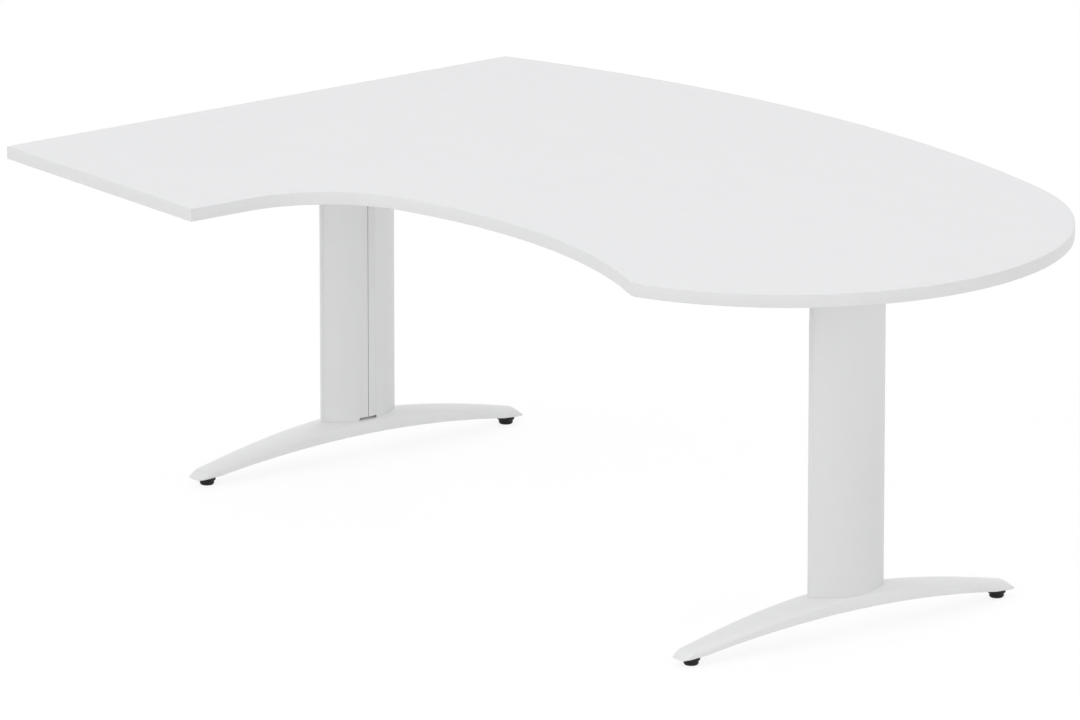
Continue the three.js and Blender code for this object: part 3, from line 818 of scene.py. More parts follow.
# %% Foot sizes
foot_low, foot_high = box("left_foot")
foot_sizes = {
    "Foot Half": (foot_high.y - foot_low.y) / 2,
    "Foot Height": 83 * mm,
    "Arch Height": 48 * mm,
    "Pad Level": 18 * mm,
    "Nose Level": foot_low.z,
    "Arch Half": 343 * mm,
    "Middle Width": foot_high.x - foot_low.x,
    "End Width": 46 * mm,
    "Tip Width": 30 * mm,
    "Bow Length": 30 * mm,
    "Bevel Length": 20 * mm,
    "Bevel Height": 32.5 * mm,
    "Tip Height": 17.5 * mm,
    "Dome Rise": 14 * mm,
    "Side Draft": 1.5 * mm,
    "Corner Radius": 1.4 * mm,
}
crown_power, bow_power, dome_power = 1.7, 3, 2
dome_share, corner_share = 0.6, 0.25
crown_blend, nose_round = 1.5 * mm, 1.2 * mm
half_columns, corner_columns, round_rows = 26, 4, 5
row_pitch = 1.6 * mm
loft_weld = 0.01 * mm
print("foot in mm:", {name: round(value / mm, 1) for name, value in foot_sizes.items()})

# %% [markdown]
# The rule is a tree of its own, because the open pockets underneath follow the same rule, drawn in by
# the casting's wall. A smooth minimum rounds the ridge between crown and bevel. The last few rows at
# each end turn inwards by a quarter of a circle, so the noses have round rims, and then shrink to a
# point, and welding by distance closes the ends and the seam.

# %% Foot heights and widths
def top_height(graph, size, v):
    reach = abs(v)
    bevel_start = size["Foot Half"] - size["Bevel Length"]
    fall = size["Foot Height"] - size["Bevel Height"]
    crown = size["Foot Height"] - fall * (reach / bevel_start) ** crown_power
    share = (reach - bevel_start) / size["Bevel Length"]
    bevel = size["Bevel Height"] + (size["Tip Height"] - size["Bevel Height"]) * share
    return graph.maths("SMOOTH_MIN", crown, bevel, crown_blend)


def under_height(graph, size, v):
    half, rise = size["Arch Half"], size["Arch Height"] - size["Pad Level"]
    radius = (half * half + rise * rise) / (2 * rise)
    arch = size["Arch Height"] - radius + graph.maths("SQRT", radius * radius - v * v)
    dip = (size["Pad Level"] - size["Nose Level"]) * (abs(v) - half) / (size["Foot Half"] - half)
    return graph.choose(abs(v) > half, arch, size["Pad Level"] - dip)


def half_width(graph, size, v):
    reach = abs(v)
    bow_start = size["Foot Half"] - size["Bow Length"]
    share = graph.least(reach / bow_start, 1.0)
    body = size["Middle Width"] - (size["Middle Width"] - size["End Width"]) * share * share
    bow = graph.most(reach - bow_start, 0.0) / size["Bow Length"]
    return (body - (size["End Width"] - size["Tip Width"]) * bow ** bow_power) / 2


def held_share(graph, count, start, end):
    """A share that goes from 0 to 1 as the count goes from start to end."""
    share = graph.maths("DIVIDE", count - start, end - start)
    return graph.least(graph.most(share, 0.0), 1.0)


def quarter_turn(graph, count, start, end):
    return held_share(graph, count, start, end) * (math.pi / 2)


def rows_for(length):
    return 1 + 2 * round_rows + round(length / row_pitch)


print("rows along the foot:", rows_for(2 * foot_sizes["Foot Half"]))

# %% [markdown]
# The loft brings these rules together. A point's row says how far along the foot it lies and its
# column how far round the section, from the middle of the underside to the ridge. From the two follow
# the point's distance from the middle line and its height.

# %% Foot loft
def foot_loft_tree():
    shape = Shape("foot_loft")
    size = {name: shape.size(name, value) for name, value in foot_sizes.items()}
    start = shape.size("Start", -foot_sizes["Foot Half"])
    end = shape.size("End", foot_sizes["Foot Half"])
    wall, drop = shape.size("Wall", 0.0), shape.size("Drop", 0.0)
    nose = shape.size("Nose Round", nose_round)
    rows = shape.size("Rows", rows_for(2 * foot_sizes["Foot Half"]), "NodeSocketInt")
    sheet, across, row, closed = shape.grid(2 * half_columns + 1, rows)
    from_end = shape.least(row, rows - 1 - row)
    lean = quarter_turn(shape, from_end, round_rows, 1)
    outwards = shape.choose(2 * row > (rows - 1), -1.0, 1.0)
    share = held_share(shape, row, round_rows, rows - 1 - round_rows)
    v = start + nose + (end - start - 2 * nose) * share
    v = v + outwards * nose * shape.maths("SINE", lean)
    inset = nose * (1 - shape.maths("COSINE", lean))
    column = (1 - abs(2 * across)) * half_columns
    half = half_width(shape, size, v) - wall - inset
    low = under_height(shape, size, v) - drop + inset
    high = top_height(shape, size, v) - wall - inset
    dome = shape.least(size["Dome Rise"], (high - low) * dome_share)
    corner = shape.least(size["Corner Radius"], (high - low) * corner_share)
    turn = quarter_turn(shape, column, 1, 1 + corner_columns)
    climb = quarter_turn(shape, column, 2 + corner_columns, half_columns)
    foot_half = half - size["Side Draft"] - corner + corner * shape.maths("SINE", turn)
    foot_up = low + corner - corner * shape.maths("COSINE", turn)
    dome_half = half * shape.maths("COSINE", climb) ** (2 / dome_power)
    dome_up = high - dome + dome * shape.maths("SINE", climb) ** (2 / dome_power)
    on_dome = column > 1.5 + corner_columns
    out = shape.choose(on_dome, shape.choose(column > 0.5, 0.0, foot_half), dome_half)
    up = shape.choose(on_dome, foot_up, dome_up)
    side = shape.choose(across > 0, -1.0, 1.0)
    x = shape.choose(closed, out * side, 0.0)
    z = shape.choose(closed, up, (low + high) / 2)
    return shape.close(shape.bent(sheet, x, v, z, loft_weld))


foot_loft = foot_loft_tree()
print("foot loft:", len(foot_loft.tree.nodes), "nodes")

# %% [markdown]
# ## The foot
# Underneath, the casting is hollow to save metal: four pockets a side with ribs between them,
# counterbored holes for the two bolts that hold the column, and a bore for each glide's insert. The
# tree lofts the blank and every pocket from the same rule and cuts them out. Both feet are alike, so
# it runs only once.

# %% Foot
foot_wall = foot_rib = 4 * mm
pockets_per_side, pocket_start = 4, 60 * mm
glide_spacing, flange_radius = 724 * mm, 17 * mm
pocket_end = glide_spacing / 2 - flange_radius - foot_rib
bolt_pitch, m8_hole = 90 * mm, 4.3 * mm
bolt_sides = (-bolt_pitch / 2, bolt_pitch / 2)
bolt_head_hole, bolt_sink = 7.2 * mm, 10 * mm
pad_level, arch_height = foot_sizes["Pad Level"], foot_sizes["Arch Height"]
arch_radius = arc_radius(foot_sizes["Arch Half"], arch_height - pad_level)
arch_at_bolt = arch_height - arch_radius + math.sqrt(arch_radius ** 2 - bolt_pitch ** 2 / 4)
insert_hole, seat_gap = 7.3 * mm, 0.3 * mm
insert_hole_top = box("left_glide_insert_rear")[1].z + seat_gap
overrun = 1 * mm
bore_sides = 48


def pocket_spans():
    pitch = (pocket_end - pocket_start + foot_rib) / pockets_per_side
    starts = [pocket_start + i * pitch for i in range(pockets_per_side)]
    spans = [(start, start + pitch - foot_rib) for start in starts]
    return spans + [(-end, -start) for start, end in spans]


def bore(shape, radius, v, low, high):
    """A round cutter from one level to another on the foot's middle line."""
    sizes = {"Vertices": bore_sides, "Radius": radius, "Depth": high - low}
    round_bar = shape.node("GeometryNodeMeshCylinder", sizes)
    place = Vector((0.0, v, (low + high) / 2))
    return shape.node("GeometryNodeTransform", {"Geometry": round_bar, "Translation": place})


def foot_tree():
    shape = Shape("foot")
    wall = shape.size("Casting Wall", foot_wall)
    blank = shape.node("GeometryNodeGroup", node_tree=foot_loft.tree)
    cutters = []
    for start, end in pocket_spans():
        sizes = {"Start": start, "End": end, "Wall": wall, "Drop": overrun + nose_round,
                 "Rows": rows_for(end - start)}
        cutters.append(shape.node("GeometryNodeGroup", sizes, node_tree=foot_loft.tree))
    for v in bolt_sides:
        cutters.append(bore(shape, m8_hole, v, foot_low.z, foot_high.z + bolt_sink))
        cutters.append(bore(shape, bolt_head_hole, v, foot_low.z, arch_at_bolt + bolt_sink))
    for v in (-glide_spacing / 2, glide_spacing / 2):
        cutters.append(bore(shape, insert_hole, v, foot_low.z, insert_hole_top))
        cutters.append(bore(shape, flange_radius + seat_gap, v, foot_low.z - overrun, pad_level))
    cast = shape.node("GeometryNodeMeshBoolean", {"Mesh 1": blank, "Mesh 2": cutters},
                      operation="DIFFERENCE", solver="MANIFOLD")
    return shape.finish(cast, foot_coat_painted_lighter)


foot_mesh = grown("foot_pattern", foot_tree())
print("foot faces:", len(foot_mesh.data.polygons))

# %% [markdown]
# ## The legs' places
# The left leg's own frame stands on the floor in the middle of its foot. What is made in that frame, a
# pattern, is copied to both legs, and for the right one it gets half a turn, because the covers of
# both legs face each other.

# %% Legs' places
def floor_spot(solid):
    """The move from the origin to the floor under a solid's middle."""
    middle = sum(box(solid), Vector()) / 2
    return Matrix.Translation((middle.x, middle.y, 0))


legs = {"left": floor_spot("left_foot"),
        "right": floor_spot("right_foot") @ Matrix.Rotation(math.pi, 4, "Z")}


def placed(pattern, name, place):
    """A copy of a pattern, put where it belongs."""
    mesh = pattern.data.copy()
    mesh.transform(place)
    return add_object(name, mesh)


def settle_both(pattern, name, material, slot, solid):
    """Puts a leg-frame pattern on both legs and deletes it."""
    for side, place in legs.items():
        piece = placed(pattern, f"{side}_{name}", place)
        settle(piece, material, slot, "desk_frame", f"{side}_{solid}")
    bpy.data.objects.remove(pattern)


def leg_box(solid):
    """A leg solid's lowest and highest corner in the leg's own frame."""
    return [corner - legs["left"].translation for corner in box("left_" + solid)]


def on_legs(spots, height=0.0):
    """Leg-frame spots as points on both legs."""
    return [place @ Vector((x, y, height)) for place in legs.values() for x, y in spots]


print("legs at x:", [round(place.translation.x / mm, 1) for place in legs.values()])

# %% [markdown]
# ## The column's section
# A column is a lens in plan: two wide arcs joined by small round ends. The outer half is one folded
# steel shell and the inner half two thin covers, which meet at a seam in the middle of the inner face
# and pull off to reach the cable duct. All of them share this outline, drawn in by a wall or a part
# of one.

# %% Lens outline
shell_low, shell_high = box("left_column_shell")
leg_x = legs["left"].translation.x
column_width = shell_high.y - shell_low.y
column_half = leg_x - shell_low.x
column_end_radius = 10 * mm


def lens(inset):
    """The column's plan outline in the leg's frame, turning left."""
    end_y = column_width / 2 - column_end_radius
    radius = arc_radius(end_y, column_half - column_end_radius) + column_end_radius
    offset = radius - column_half
    turn = math.atan2(end_y, offset)
    arcs = [
        (Vector((-offset, 0)), radius, -inset, -turn, turn),
        (Vector((0, end_y)), column_end_radius, -inset, turn, math.pi - turn),
        (Vector((offset, 0)), radius, -inset, math.pi - turn, math.pi + turn),
        (Vector((0, -end_y)), column_end_radius, -inset, math.pi + turn, 2 * math.pi - turn),
    ]
    return [point for values in arcs for point in arc_points(*values)[:-1]]


print("lens points:", len(lens(0)))

# %% [markdown]
# ## The foot's seat
# Under the column the casting has a flat seat, milled into its dome, on which the base plate lies and
# the bolts pull. It has the lens's shape, drawn in by the shell's wall, so the column's skin comes
# down on the dome round it and hides it.

# %% Foot seat
base_low, base_high = box("left_base_plate")
seat_depth = 6 * mm
shell_wall = 2.5 * mm
low, high = foot_sizes["Foot Height"] - seat_depth, foot_sizes["Foot Height"] + overrun
front = base_high.x - leg_x + seat_gap
half = (base_high.y - base_low.y) / 2 + seat_gap
keep = block("keep", -column_half, front, -half, half, low - overrun, high + overrun)
seat = combine(prism("seat", lens(shell_wall), low, high), "INTERSECT", keep)
settle_both(smooth(cut(foot_mesh, seat)), "foot_casting", foot_coat_painted_lighter, "painted_steel", "foot")

# %% [markdown]
# ## The column shell
# The shell is 2.5 mm sheet bent round the outer half. Its long edges are folded inwards to lips that
# carry the bracket and stiffen it. The sheet could be a surface with Solidify, but its edges, lips
# and the cut over the foot's dome are cleaner as a thick outline minus a thin one. The edges are
# softened first and the foot's dome is cut out last, so that the seam on the foot stays crisp.

# %% Shell
joint_offset, lip_thickness, lip_width = 4 * mm, 2 * mm, 10 * mm
lip_inner = column_width / 2 - shell_wall - lip_width
reach, ceiling = column_width, 1.0
column_low = arch_height + foot_wall
lip_low = base_high.z + seat_gap
lip_high = box("left_top_plate")[0].z - seat_gap
edge_softness = 0.4 * mm


def column_ring(wall, high):
    ring = prism("column_ring", lens(0), column_low, high)
    return cut(ring, prism("column_bore", lens(wall), column_low - overrun, high + overrun))


def slab(x0, x1, y0, y1):
    """An upright cutter that is higher than everything."""
    return block("slab", x0, x1, y0, y1, 0, ceiling)


def shifted(made, x=0.0, y=0.0, z=0.0):
    """Moves an object's mesh, while the object stays at the origin."""
    made.data.transform(Matrix.Translation((x, y, z)))
    return made


def stood_on_foot(made):
    """Cuts a piece over the foot's blank, raised by a seat gap."""
    return smooth(cut(made, shifted(grown("foot_blank", foot_loft), z=seat_gap)))


shell = column_ring(shell_wall, shell_high.z)
lips = prism("lips", lens(shell_wall / 2), lip_low, lip_high)
for made in (shell, lips):
    cut(made, slab(joint_offset, reach, -reach, reach))
cut(lips, slab(-reach, joint_offset - lip_thickness, -reach, reach))
cut(lips, slab(-reach, reach, -lip_inner, lip_inner))
combine(shell, "UNION", lips)
soften(shell, edge_softness)
settle_both(stood_on_foot(shell), "shell", powder_coat, "painted_steel", "column_shell")

# %% [markdown]
# ## The covers
# Each cover is 1.5 mm sheet. At the seam it folds inwards, so that both covers show a rounded edge and
# a dark line between them, and the folded flanges slide into the clips. A second flange lies against
# the shell's lip. At the foot both covers are cut away for a flat slot where the cables come out.

# %% Covers
cover_wall, seam_half, seam_flange_depth = 1.5 * mm, 0.75 * mm, 20 * mm
cover_top = box("left_cover_front")[1].z
plate_front, slot_half, slot_height = 24 * mm, 20.5 * mm, 8 * mm
sheet_edge = 0.35 * mm
face_share = 2 * column_half / foot_sizes["Middle Width"]
face_drop = foot_sizes["Dome Rise"] * (1 - math.sqrt(1 - face_share ** 2))
slot_top = foot_sizes["Foot Height"] - face_drop + slot_height


def make_cover():
    """The cover on the leg frame's +Y side."""
    skin = column_ring(cover_wall, cover_top)
    cut(skin, slab(-reach, joint_offset + seat_gap, -reach, reach))
    cut(skin, slab(-reach, reach, -reach, seam_half))
    edge_outer = lip_inner - seat_gap
    flanges = block("seam_flange", column_half - seam_flange_depth, reach, seam_half,
                    seam_half + cover_wall, lip_low, cover_top)
    edge = block("edge_flange", joint_offset - lip_thickness, reach, edge_outer - cover_wall,
                 edge_outer, lip_low, cover_top)
    combine(flanges, "UNION", edge)
    combine(flanges, "INTERSECT", prism("inside", lens(cover_wall / 2), lip_low, cover_top))
    combine(skin, "UNION", flanges)
    cut(skin, block("slot", plate_front, reach, -reach, slot_half, 0, slot_top))
    soften(skin, sheet_edge)
    return stood_on_foot(skin)


cover = make_cover()
other_cover = placed(cover, "other_cover", Matrix.Scale(-1, 4, (0, 1, 0)))
other_cover.data.flip_normals()
for side, end, pattern in (("left", "rear", cover), ("left", "front", other_cover),
                           ("right", "front", cover), ("right", "rear", other_cover)):
    settle(placed(pattern, f"{side}_cover_{end}_skin", legs[side]), powder_coat, "painted_steel",
           f"{side}_{end}_cover", f"{side}_cover_{end}")
for pattern in (cover, other_cover):
    bpy.data.objects.remove(pattern)

# %% [markdown]
# ## Rounded outlines and turned shapes
# Folded sheet and tube have a bend radius at each corner, and turned or moulded pieces small rounds.
# Rather than bevel a finished mesh, their outlines are rounded before they are drawn out or turned:
# each corner becomes an arc that touches both of its sides.

# %% Outlines
fillet_steps, hole_steps = 5, 40


def filleted(corners):
    """A closed outline from (x, y, radius) corners, which become arcs."""
    rounded = []
    points = [Vector(corner[:2]) for corner in corners]
    for i, point in enumerate(points):
        radius = corners[i][2]
        if not radius:
            rounded.append(point)
            continue
        before = (points[i - 1] - point).normalized()
        after = (points[(i + 1) % len(points)] - point).normalized()
        half = before.angle(after) / 2
        centre = point + (before + after).normalized() * radius / math.sin(half)
        start = bearing(centre, point + before * radius / math.tan(half))
        end = bearing(centre, point + after * radius / math.tan(half))
        turn = (end - start + math.pi) % (2 * math.pi) - math.pi
        rounded += arc(centre, radius, start, turn, fillet_steps)
    return rounded


def turned(name, profile, steps, ring=False):
    """A (radius, height) profile turned about Z; a ring's profile closes on itself."""
    size = len(profile)
    angles = [2 * math.pi * step / steps for step in range(steps)]
    points = [(r * math.cos(a), r * math.sin(a), z) for a in angles for r, z in profile]
    faces = []
    for step in range(steps):
        near, far = step * size, (step + 1) % steps * size
        for i in range(size if ring else size - 1):
            j = (i + 1) % size
            faces.append((near + i, far + i, far + j, near + j))
    return solid_mesh(name, points, faces)


def drill(made, spots, radius, low, high):
    """Cuts an upright round hole at every spot."""
    outline = [(0, low), (radius, low), (radius, high), (0, high)]
    for spot in spots:
        cut(made, shifted(turned("rod", outline, hole_steps), *spot[:2]))
    return made


print("points in a corner's arc:", fillet_steps + 1)

# %% [markdown]
# ## The support arms
# Under the top each column carries an arm, a hat channel folded from 2.5 mm sheet. Its lips lie
# against the board, its ends are sloped so that nobody meets a corner with a knee, and two bolts
# through its floor hold it on the column.

# %% Arms
arm_low, arm_high = leg_box("support_arm")
arm_sheet, arm_half, arm_slope = 2.5 * mm, 24 * mm, 26 * mm
fold_outer, fold_inner = 3.2 * mm, 0.7 * mm
arm_bolt_x, screw_hole = -12 * mm, 2.3 * mm
top_screw_along, top_screw_aside = 230 * mm, 32 * mm
arm_bolt_spots = [(arm_bolt_x, y) for y in bolt_sides]
top_screw_spots = [(x, y) for y in (-top_screw_along, top_screw_along)
                   for x in (-top_screw_aside, top_screw_aside)]


def hat_outline():
    floor, roof, lip = arm_low.z, arm_high.z, arm_high.x
    right_side = [
        (arm_half, floor, fold_outer), (arm_half, roof - arm_sheet, fold_inner),
        (lip, roof - arm_sheet, sheet_edge), (lip, roof, sheet_edge),
        (arm_half - arm_sheet, roof, fold_outer),
        (arm_half - arm_sheet, floor + arm_sheet, fold_inner),
    ]
    return filleted(right_side + [(-x, z, radius) for x, z, radius in reversed(right_side)])


arm = prism("arm_pattern", hat_outline(), arm_low.y, arm_high.y, "Y")
end, floor, tip = arm_high.y, arm_low.z - overrun, arm_high.z - 2 * arm_sheet
slope = [(end - arm_slope, floor), (end + overrun, floor), (end + overrun, tip), (end, tip)]
for outline in (slope, [(-y, z) for y, z in slope]):
    cut(arm, prism("slope", outline, -reach, reach, "X"))
drill(arm, arm_bolt_spots, m8_hole, floor, floor + 2 * arm_sheet)
drill(arm, top_screw_spots, screw_hole, arm_high.z - 2 * arm_sheet, arm_high.z + overrun)
settle_both(smooth(arm), "arm_channel", powder_coat, "painted_steel", "support_arm")

# %% [markdown]
# ## The board's pilot holes
# The board leaves the factory with a blind hole for each screw of the arms. They are drilled here,
# because only now their places are known, and the board is settled with them.

# %% Pilot holes
top_screw_length = 16 * mm
hole_top = arm_high.z - arm_sheet + top_screw_length
drill(desktop, on_legs(top_screw_spots), screw_hole, arm_high.z - overrun, hole_top)
settle(smooth(desktop), melamine, "board_melamine", "desk_frame", "desktop_board")

# %% [markdown]
# ## Plates and brackets
# A lens-shaped plate closes the column's top and takes the arm's bolts. A zinc plate sits in the foot
# and takes the foot's bolts. Behind the shell's lips a bracket carries a stub of tube for the beam to
# slide over.

# %% Plates and brackets
plate_thickness, plate_softness = 3 * mm, 0.4 * mm
beam_low, beam_high = box("crossbeam")
beam_middle = (beam_low.z + beam_high.z) / 2
beam_half = (beam_high.z - beam_low.z) / 2
beam_wall, stub_wall = 2 * mm, 3 * mm
stub_half = beam_half - beam_wall - seat_gap
beam_screw_spots, m6_hole = [(50 * mm, 0.0), (68 * mm, 0.0)], 3.3 * mm


def make_plate(solid, bolt_x, cut_back):
    """A lens-shaped plate with two bolt holes, cut back to its solid's box where asked."""
    low, high = leg_box(solid)
    bottom, top = low.z - overrun, high.z + overrun
    plate = prism(solid + "_pattern", lens(shell_wall + seat_gap), low.z, high.z)
    if cut_back:
        combine(plate, "INTERSECT", block("keep", -reach, high.x, low.y, high.y, bottom, top))
    drill(plate, [(bolt_x, y) for y in bolt_sides], m8_hole, bottom, top)
    return smooth(soften(plate, plate_softness))


def square_tube(half, wall, radius, low, high):
    """A square bar along X, or a bore in it that leaves a wall and runs past both ends."""
    side, past = half - wall, overrun if wall else 0
    corners = [(y * side, beam_middle + z * side, radius) for y, z in square]
    return prism("tube", filleted(corners), low - past, high + past, "X")


def make_bracket():
    low, high = leg_box("beam_bracket")
    plate = block("bracket_pattern", low.x, low.x + plate_thickness, low.y, high.y, low.z, high.z)
    combine(plate, "UNION", square_tube(stub_half, 0, fold_outer, low.x, high.x))
    cut(plate, square_tube(stub_half, stub_wall, fold_inner, low.x, high.x))
    drill(plate, beam_screw_spots, m6_hole, beam_low.z, beam_middle)
    return smooth(soften(plate, plate_softness))


settle_both(make_plate("top_plate", arm_bolt_x, False), "column_cap", powder_coat, "painted_steel",
            "top_plate")
settle_both(make_plate("base_plate", 0.0, True), "foot_plate", zinc, "zinc_steel", "base_plate")
settle_both(make_bracket(), "bracket", powder_coat, "painted_steel", "beam_bracket")

# %% [markdown]
# ## The beam
# A square tube, 40 mm with a 2 mm wall, joins the two legs and keeps them from racking. It is rolled,
# so its corners are round outside and nearly sharp inside.

# %% Beam
beam = square_tube(beam_half, 0, fold_outer, beam_low.x, beam_high.x)
beam.name = "beam"
cut(beam, square_tube(beam_half, beam_wall, fold_inner, beam_low.x, beam_high.x))
shifted(beam, y=(beam_low.y + beam_high.y) / 2)
drill(beam, on_legs(beam_screw_spots), m6_hole, beam_low.z - overrun, beam_middle)
settle(smooth(soften(beam, sheet_edge)), powder_coat, "painted_steel", "desk_frame", "crossbeam")

# %% [markdown]
# ## The clips
# Two moulded nylon blocks in each column hold the covers' flanges in a slot. A mould leaves every edge
# slightly round.

# %% Clips
clip_slot_half, clip_slot_back = 2.55 * mm, 15.7 * mm
clip_softness, clip_segments = 0.8 * mm, 4

for level in ("lower", "upper"):
    low, high = leg_box("cover_clip_" + level)
    clip = block("clip_pattern", low.x, high.x, low.y, high.y, low.z, high.z)
    cut(clip, slab(clip_slot_back, reach, -clip_slot_half, clip_slot_half))
    settle_both(smooth(soften(clip, clip_softness, clip_segments)), f"clip_{level}", grey_nylon,
                "grey_nylon", f"cover_clip_{level}")

# %% [markdown]
# ## Screw threads by rule
# A thread is a groove that climbs as it turns. On a grid rolled into a cylinder the rule is short: the
# radius depends on how far `height / pitch - turn` is between two whole numbers. The same tree makes
# wood screws, bolts and the glides' stems from their radius, depth and pitch.

# %% Thread tree
thread_columns, rows_per_pitch = 28, 8
thread_crest, tip_share = 1.35, 0.25
m8 = (4 * mm, 0.7 * mm, 1.25 * mm)  # radius, depth and pitch
m6 = (3 * mm, 0.55 * mm, 1.0 * mm)
wood_thread = (2 * mm, 0.55 * mm, 1.8 * mm)


def thread_tree(thread, length, point):
    """A threaded rod from z = 0 up, which narrows over its last bit, the point."""
    shape = Shape("thread")
    names = ("Radius", "Depth", "Pitch", "Length", "Point")
    radius, depth, pitch, full, end = map(shape.size, names, (*thread, length, point))
    rows = shape.size("Rows", 3 + round(rows_per_pitch * length / thread[2]), "NodeSocketInt")
    sheet, across, row, closed = shape.grid(thread_columns + 1, rows)
    turn = across + 0.5
    height = held_share(shape, row, 1, rows - 2) * full
    phase = shape.maths("FRACT", height / pitch - turn + 1.0)
    ridge = shape.least((1 - abs(2 * phase - 1)) * thread_crest, 1.0)
    taper = shape.least((full - height) / end + tip_share, 1.0)
    reach_out = shape.choose(closed, (radius - depth * (1 - ridge)) * taper, 0.0)
    angle = turn * (2 * math.pi)
    x, y = (reach_out * shape.maths(way, angle) for way in ("COSINE", "SINE"))
    return shape.finish(shape.bent(sheet, x, y, height, weld_distance), zinc)


print("rows in an M8 x 20 thread:", round(rows_per_pitch * 20 * mm / m8[2]))

# %% [markdown]
# ## The fasteners
# All heads are crowned with a hexagon socket. A pattern screw stands at the origin with its seat at
# z = 0, its head below and its shank above. Equal screws are then put on points by a tree, which is
# how Geometry Nodes repeats things: one instance on each vertex, turned over where the screw points
# down.

# %% Pattern screws
head_crown_share, socket_share = 0.8, 0.55
head_round, head_steps, screw_fold = 0.5 * mm, 48, 40.0


def make_screw(thread, length, point, head_radius, head_height):
    corners = [(0, -head_height, 0), (head_radius * head_crown_share, -head_height, head_round),
               (head_radius, -head_height / 2, head_round), (head_radius, 0, head_round / 2),
               (0, 0, 0)]
    head = turned("screw", filleted(corners), head_steps)
    socket = head_radius * socket_share
    sides = [math.pi / 3 * side for side in range(6)]
    hexagon = [(socket * math.cos(a), socket * math.sin(a)) for a in sides]
    floor = -head_height * (1 - socket_share)
    cut(head, prism("socket", hexagon, -head_height - overrun, floor))
    shank = shifted(grown("shank", thread_tree(thread, length, point)), z=-seat_gap)
    return combine(head, "UNION", shank)


def scatter_tree(screw, turned_over):
    shape = Shape("screws_on_points")
    copies = {"Points": shape.size("Spots", None, "NodeSocketGeometry"),
              "Instance": shape.solid_of("Screw", screw)}
    turn = shape.size("Turn", math.pi if turned_over else 0.0)
    around = shape.node("ShaderNodeCombineXYZ", {"X": turn})
    copies["Rotation"] = shape.node("FunctionNodeEulerToRotation", {0: around})
    return shape.finish(shape.node("GeometryNodeInstanceOnPoints", copies), zinc)


def scatter(kind, screw, spots, seat, turned_over, ends):
    """Puts a pattern screw on leg-frame spots of both legs as one piece."""
    seed = mesh_of(kind, on_legs(spots, seat))
    screws = smooth(grown(kind + "s", scatter_tree(screw, turned_over), seed), screw_fold)
    bpy.data.objects.remove(screw)
    settle(screws, zinc, "zinc_steel", "desk_frame",
           *[f"{side}_{kind}_{end}" for side in legs for end in ends])


# %% [markdown]
# Bolts hold the columns on the feet and the arms on the columns, wood screws the top, and short screws
# the beam. The four kinds differ only in sizes and places, so a table lists them and one loop makes
# them.

# %% Fasteners
bolt_point, wood_point = 1 * mm, 4 * mm
bolt_past, beam_screw_past = 2 * mm, 2.6 * mm
foot_seat = arch_at_bolt + bolt_sink - seat_gap
arm_seat = arm_low.z + arm_sheet + seat_gap
top_seat = arm_high.z - arm_sheet - seat_gap
beam_seat = beam_low.z - seat_gap
foot_bolt_length = base_high.z + bolt_past - foot_seat
arm_bolt_length = arm_seat - leg_box("top_plate")[0].z + bolt_past
beam_screw_length = beam_wall + stub_wall + beam_screw_past
screws = (  # kind, thread, length, point, head's radius and height, spots, seat, turned over, ends
    ("foot_bolt", m8, foot_bolt_length, bolt_point, 6.5 * mm, 8 * mm,
     [(0, y) for y in bolt_sides], foot_seat, False, ("front", "rear")),
    ("arm_bolt", m8, arm_bolt_length, bolt_point, 7 * mm, 4.4 * mm,
     arm_bolt_spots, arm_seat, True, ("front", "rear")),
    ("top_screw", wood_thread, top_screw_length, wood_point, 4.5 * mm, 2.6 * mm,
     top_screw_spots, top_seat, False, (1, 2, 3, 4)),
    ("beam_screw", m6, beam_screw_length, bolt_point, 5.25 * mm, 3.3 * mm,
     beam_screw_spots, beam_seat, False, (1, 2)),
)
for kind, thread, length, point, head_radius, head_height, *where in screws:
    scatter(kind, make_screw(thread, length, point, head_radius, head_height), *where)

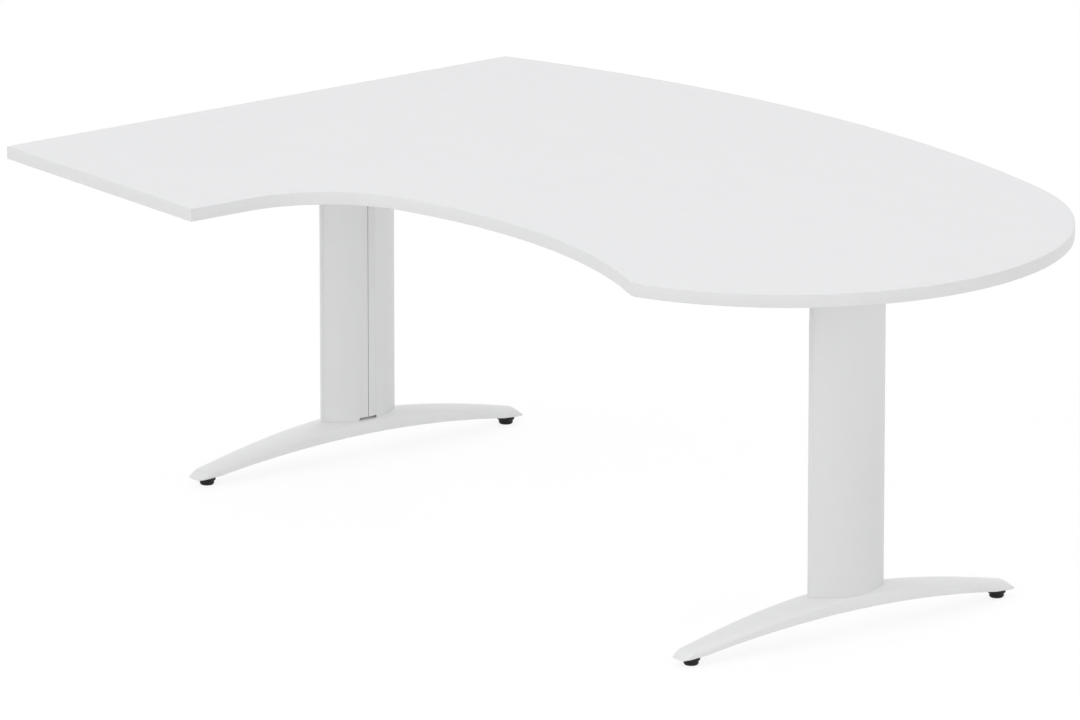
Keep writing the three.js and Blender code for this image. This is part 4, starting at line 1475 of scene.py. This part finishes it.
# %% [markdown]
# ## The glides
# A black flanged insert is pressed into each end of a foot, and the glide turns in it on an M8 stem to
# level the desk. Both are turned shapes with small rounds, so a rounded profile is spun, and the stem
# takes the same thread as the bolts.

# %% Glides
insert_low, insert_high = leg_box("glide_insert_rear")
insert_top, glide_top = pad_level - seat_gap, insert_low.z - seat_gap
barrel_radius, flange_foot, flange_chamfer = 7 * mm, 16 * mm, 1 * mm
glide_sole_radius, glide_radius, glide_neck_radius = 12 * mm, 14 * mm, 13 * mm
sole_bevel, neck_bevel = 2.5 * mm, 3 * mm
moulded_round, fine_round = 0.7 * mm, 0.3 * mm
sole_round, belly_round, shoulder_round, neck_round = 1.2 * mm, 1.5 * mm, 1.0 * mm, 0.8 * mm
glide_steps = 72


def make_insert():
    low, high, hole = insert_low.z, insert_high.z, m8[0] + seat_gap
    corners = [(hole, low, fine_round), (flange_foot, low, moulded_round),
               (flange_radius, low + flange_chamfer, moulded_round),
               (flange_radius, insert_top, fine_round), (barrel_radius, insert_top, 0),
               (barrel_radius, high, fine_round), (hole, high, fine_round)]
    return turned("insert_pattern", filleted(corners), glide_steps, ring=True)


def make_glide():
    corners = [(0, 0, 0), (glide_sole_radius, 0, sole_round), (glide_radius, sole_bevel, belly_round),
               (glide_radius, glide_top - neck_bevel, shoulder_round),
               (glide_neck_radius, glide_top, neck_round), (0, glide_top, 0)]
    body = turned("glide_pattern", filleted(corners), glide_steps)
    length = leg_box("glide_rear")[1].z - glide_top + seat_gap
    stem = grown("stem", thread_tree(m8, length, bolt_point))
    return combine(body, "UNION", shifted(stem, z=glide_top - seat_gap))


insert, glide = make_insert(), make_glide()
for side in legs:
    for end in ("front", "rear"):
        spot = floor_spot(f"{side}_glide_{end}")
        for pattern, name, solid, body in (
                (insert, "insert", "glide_insert", "desk_frame"),
                (glide, "foot_glide", "glide", f"{side}_{end}_glide")):
            piece = smooth(placed(pattern, f"{side}_{name}_{end}", spot), screw_fold)
            settle(piece, black_nylon, "black_nylon", body, f"{side}_{solid}_{end}")
for pattern in (insert, glide):
    bpy.data.objects.remove(pattern)
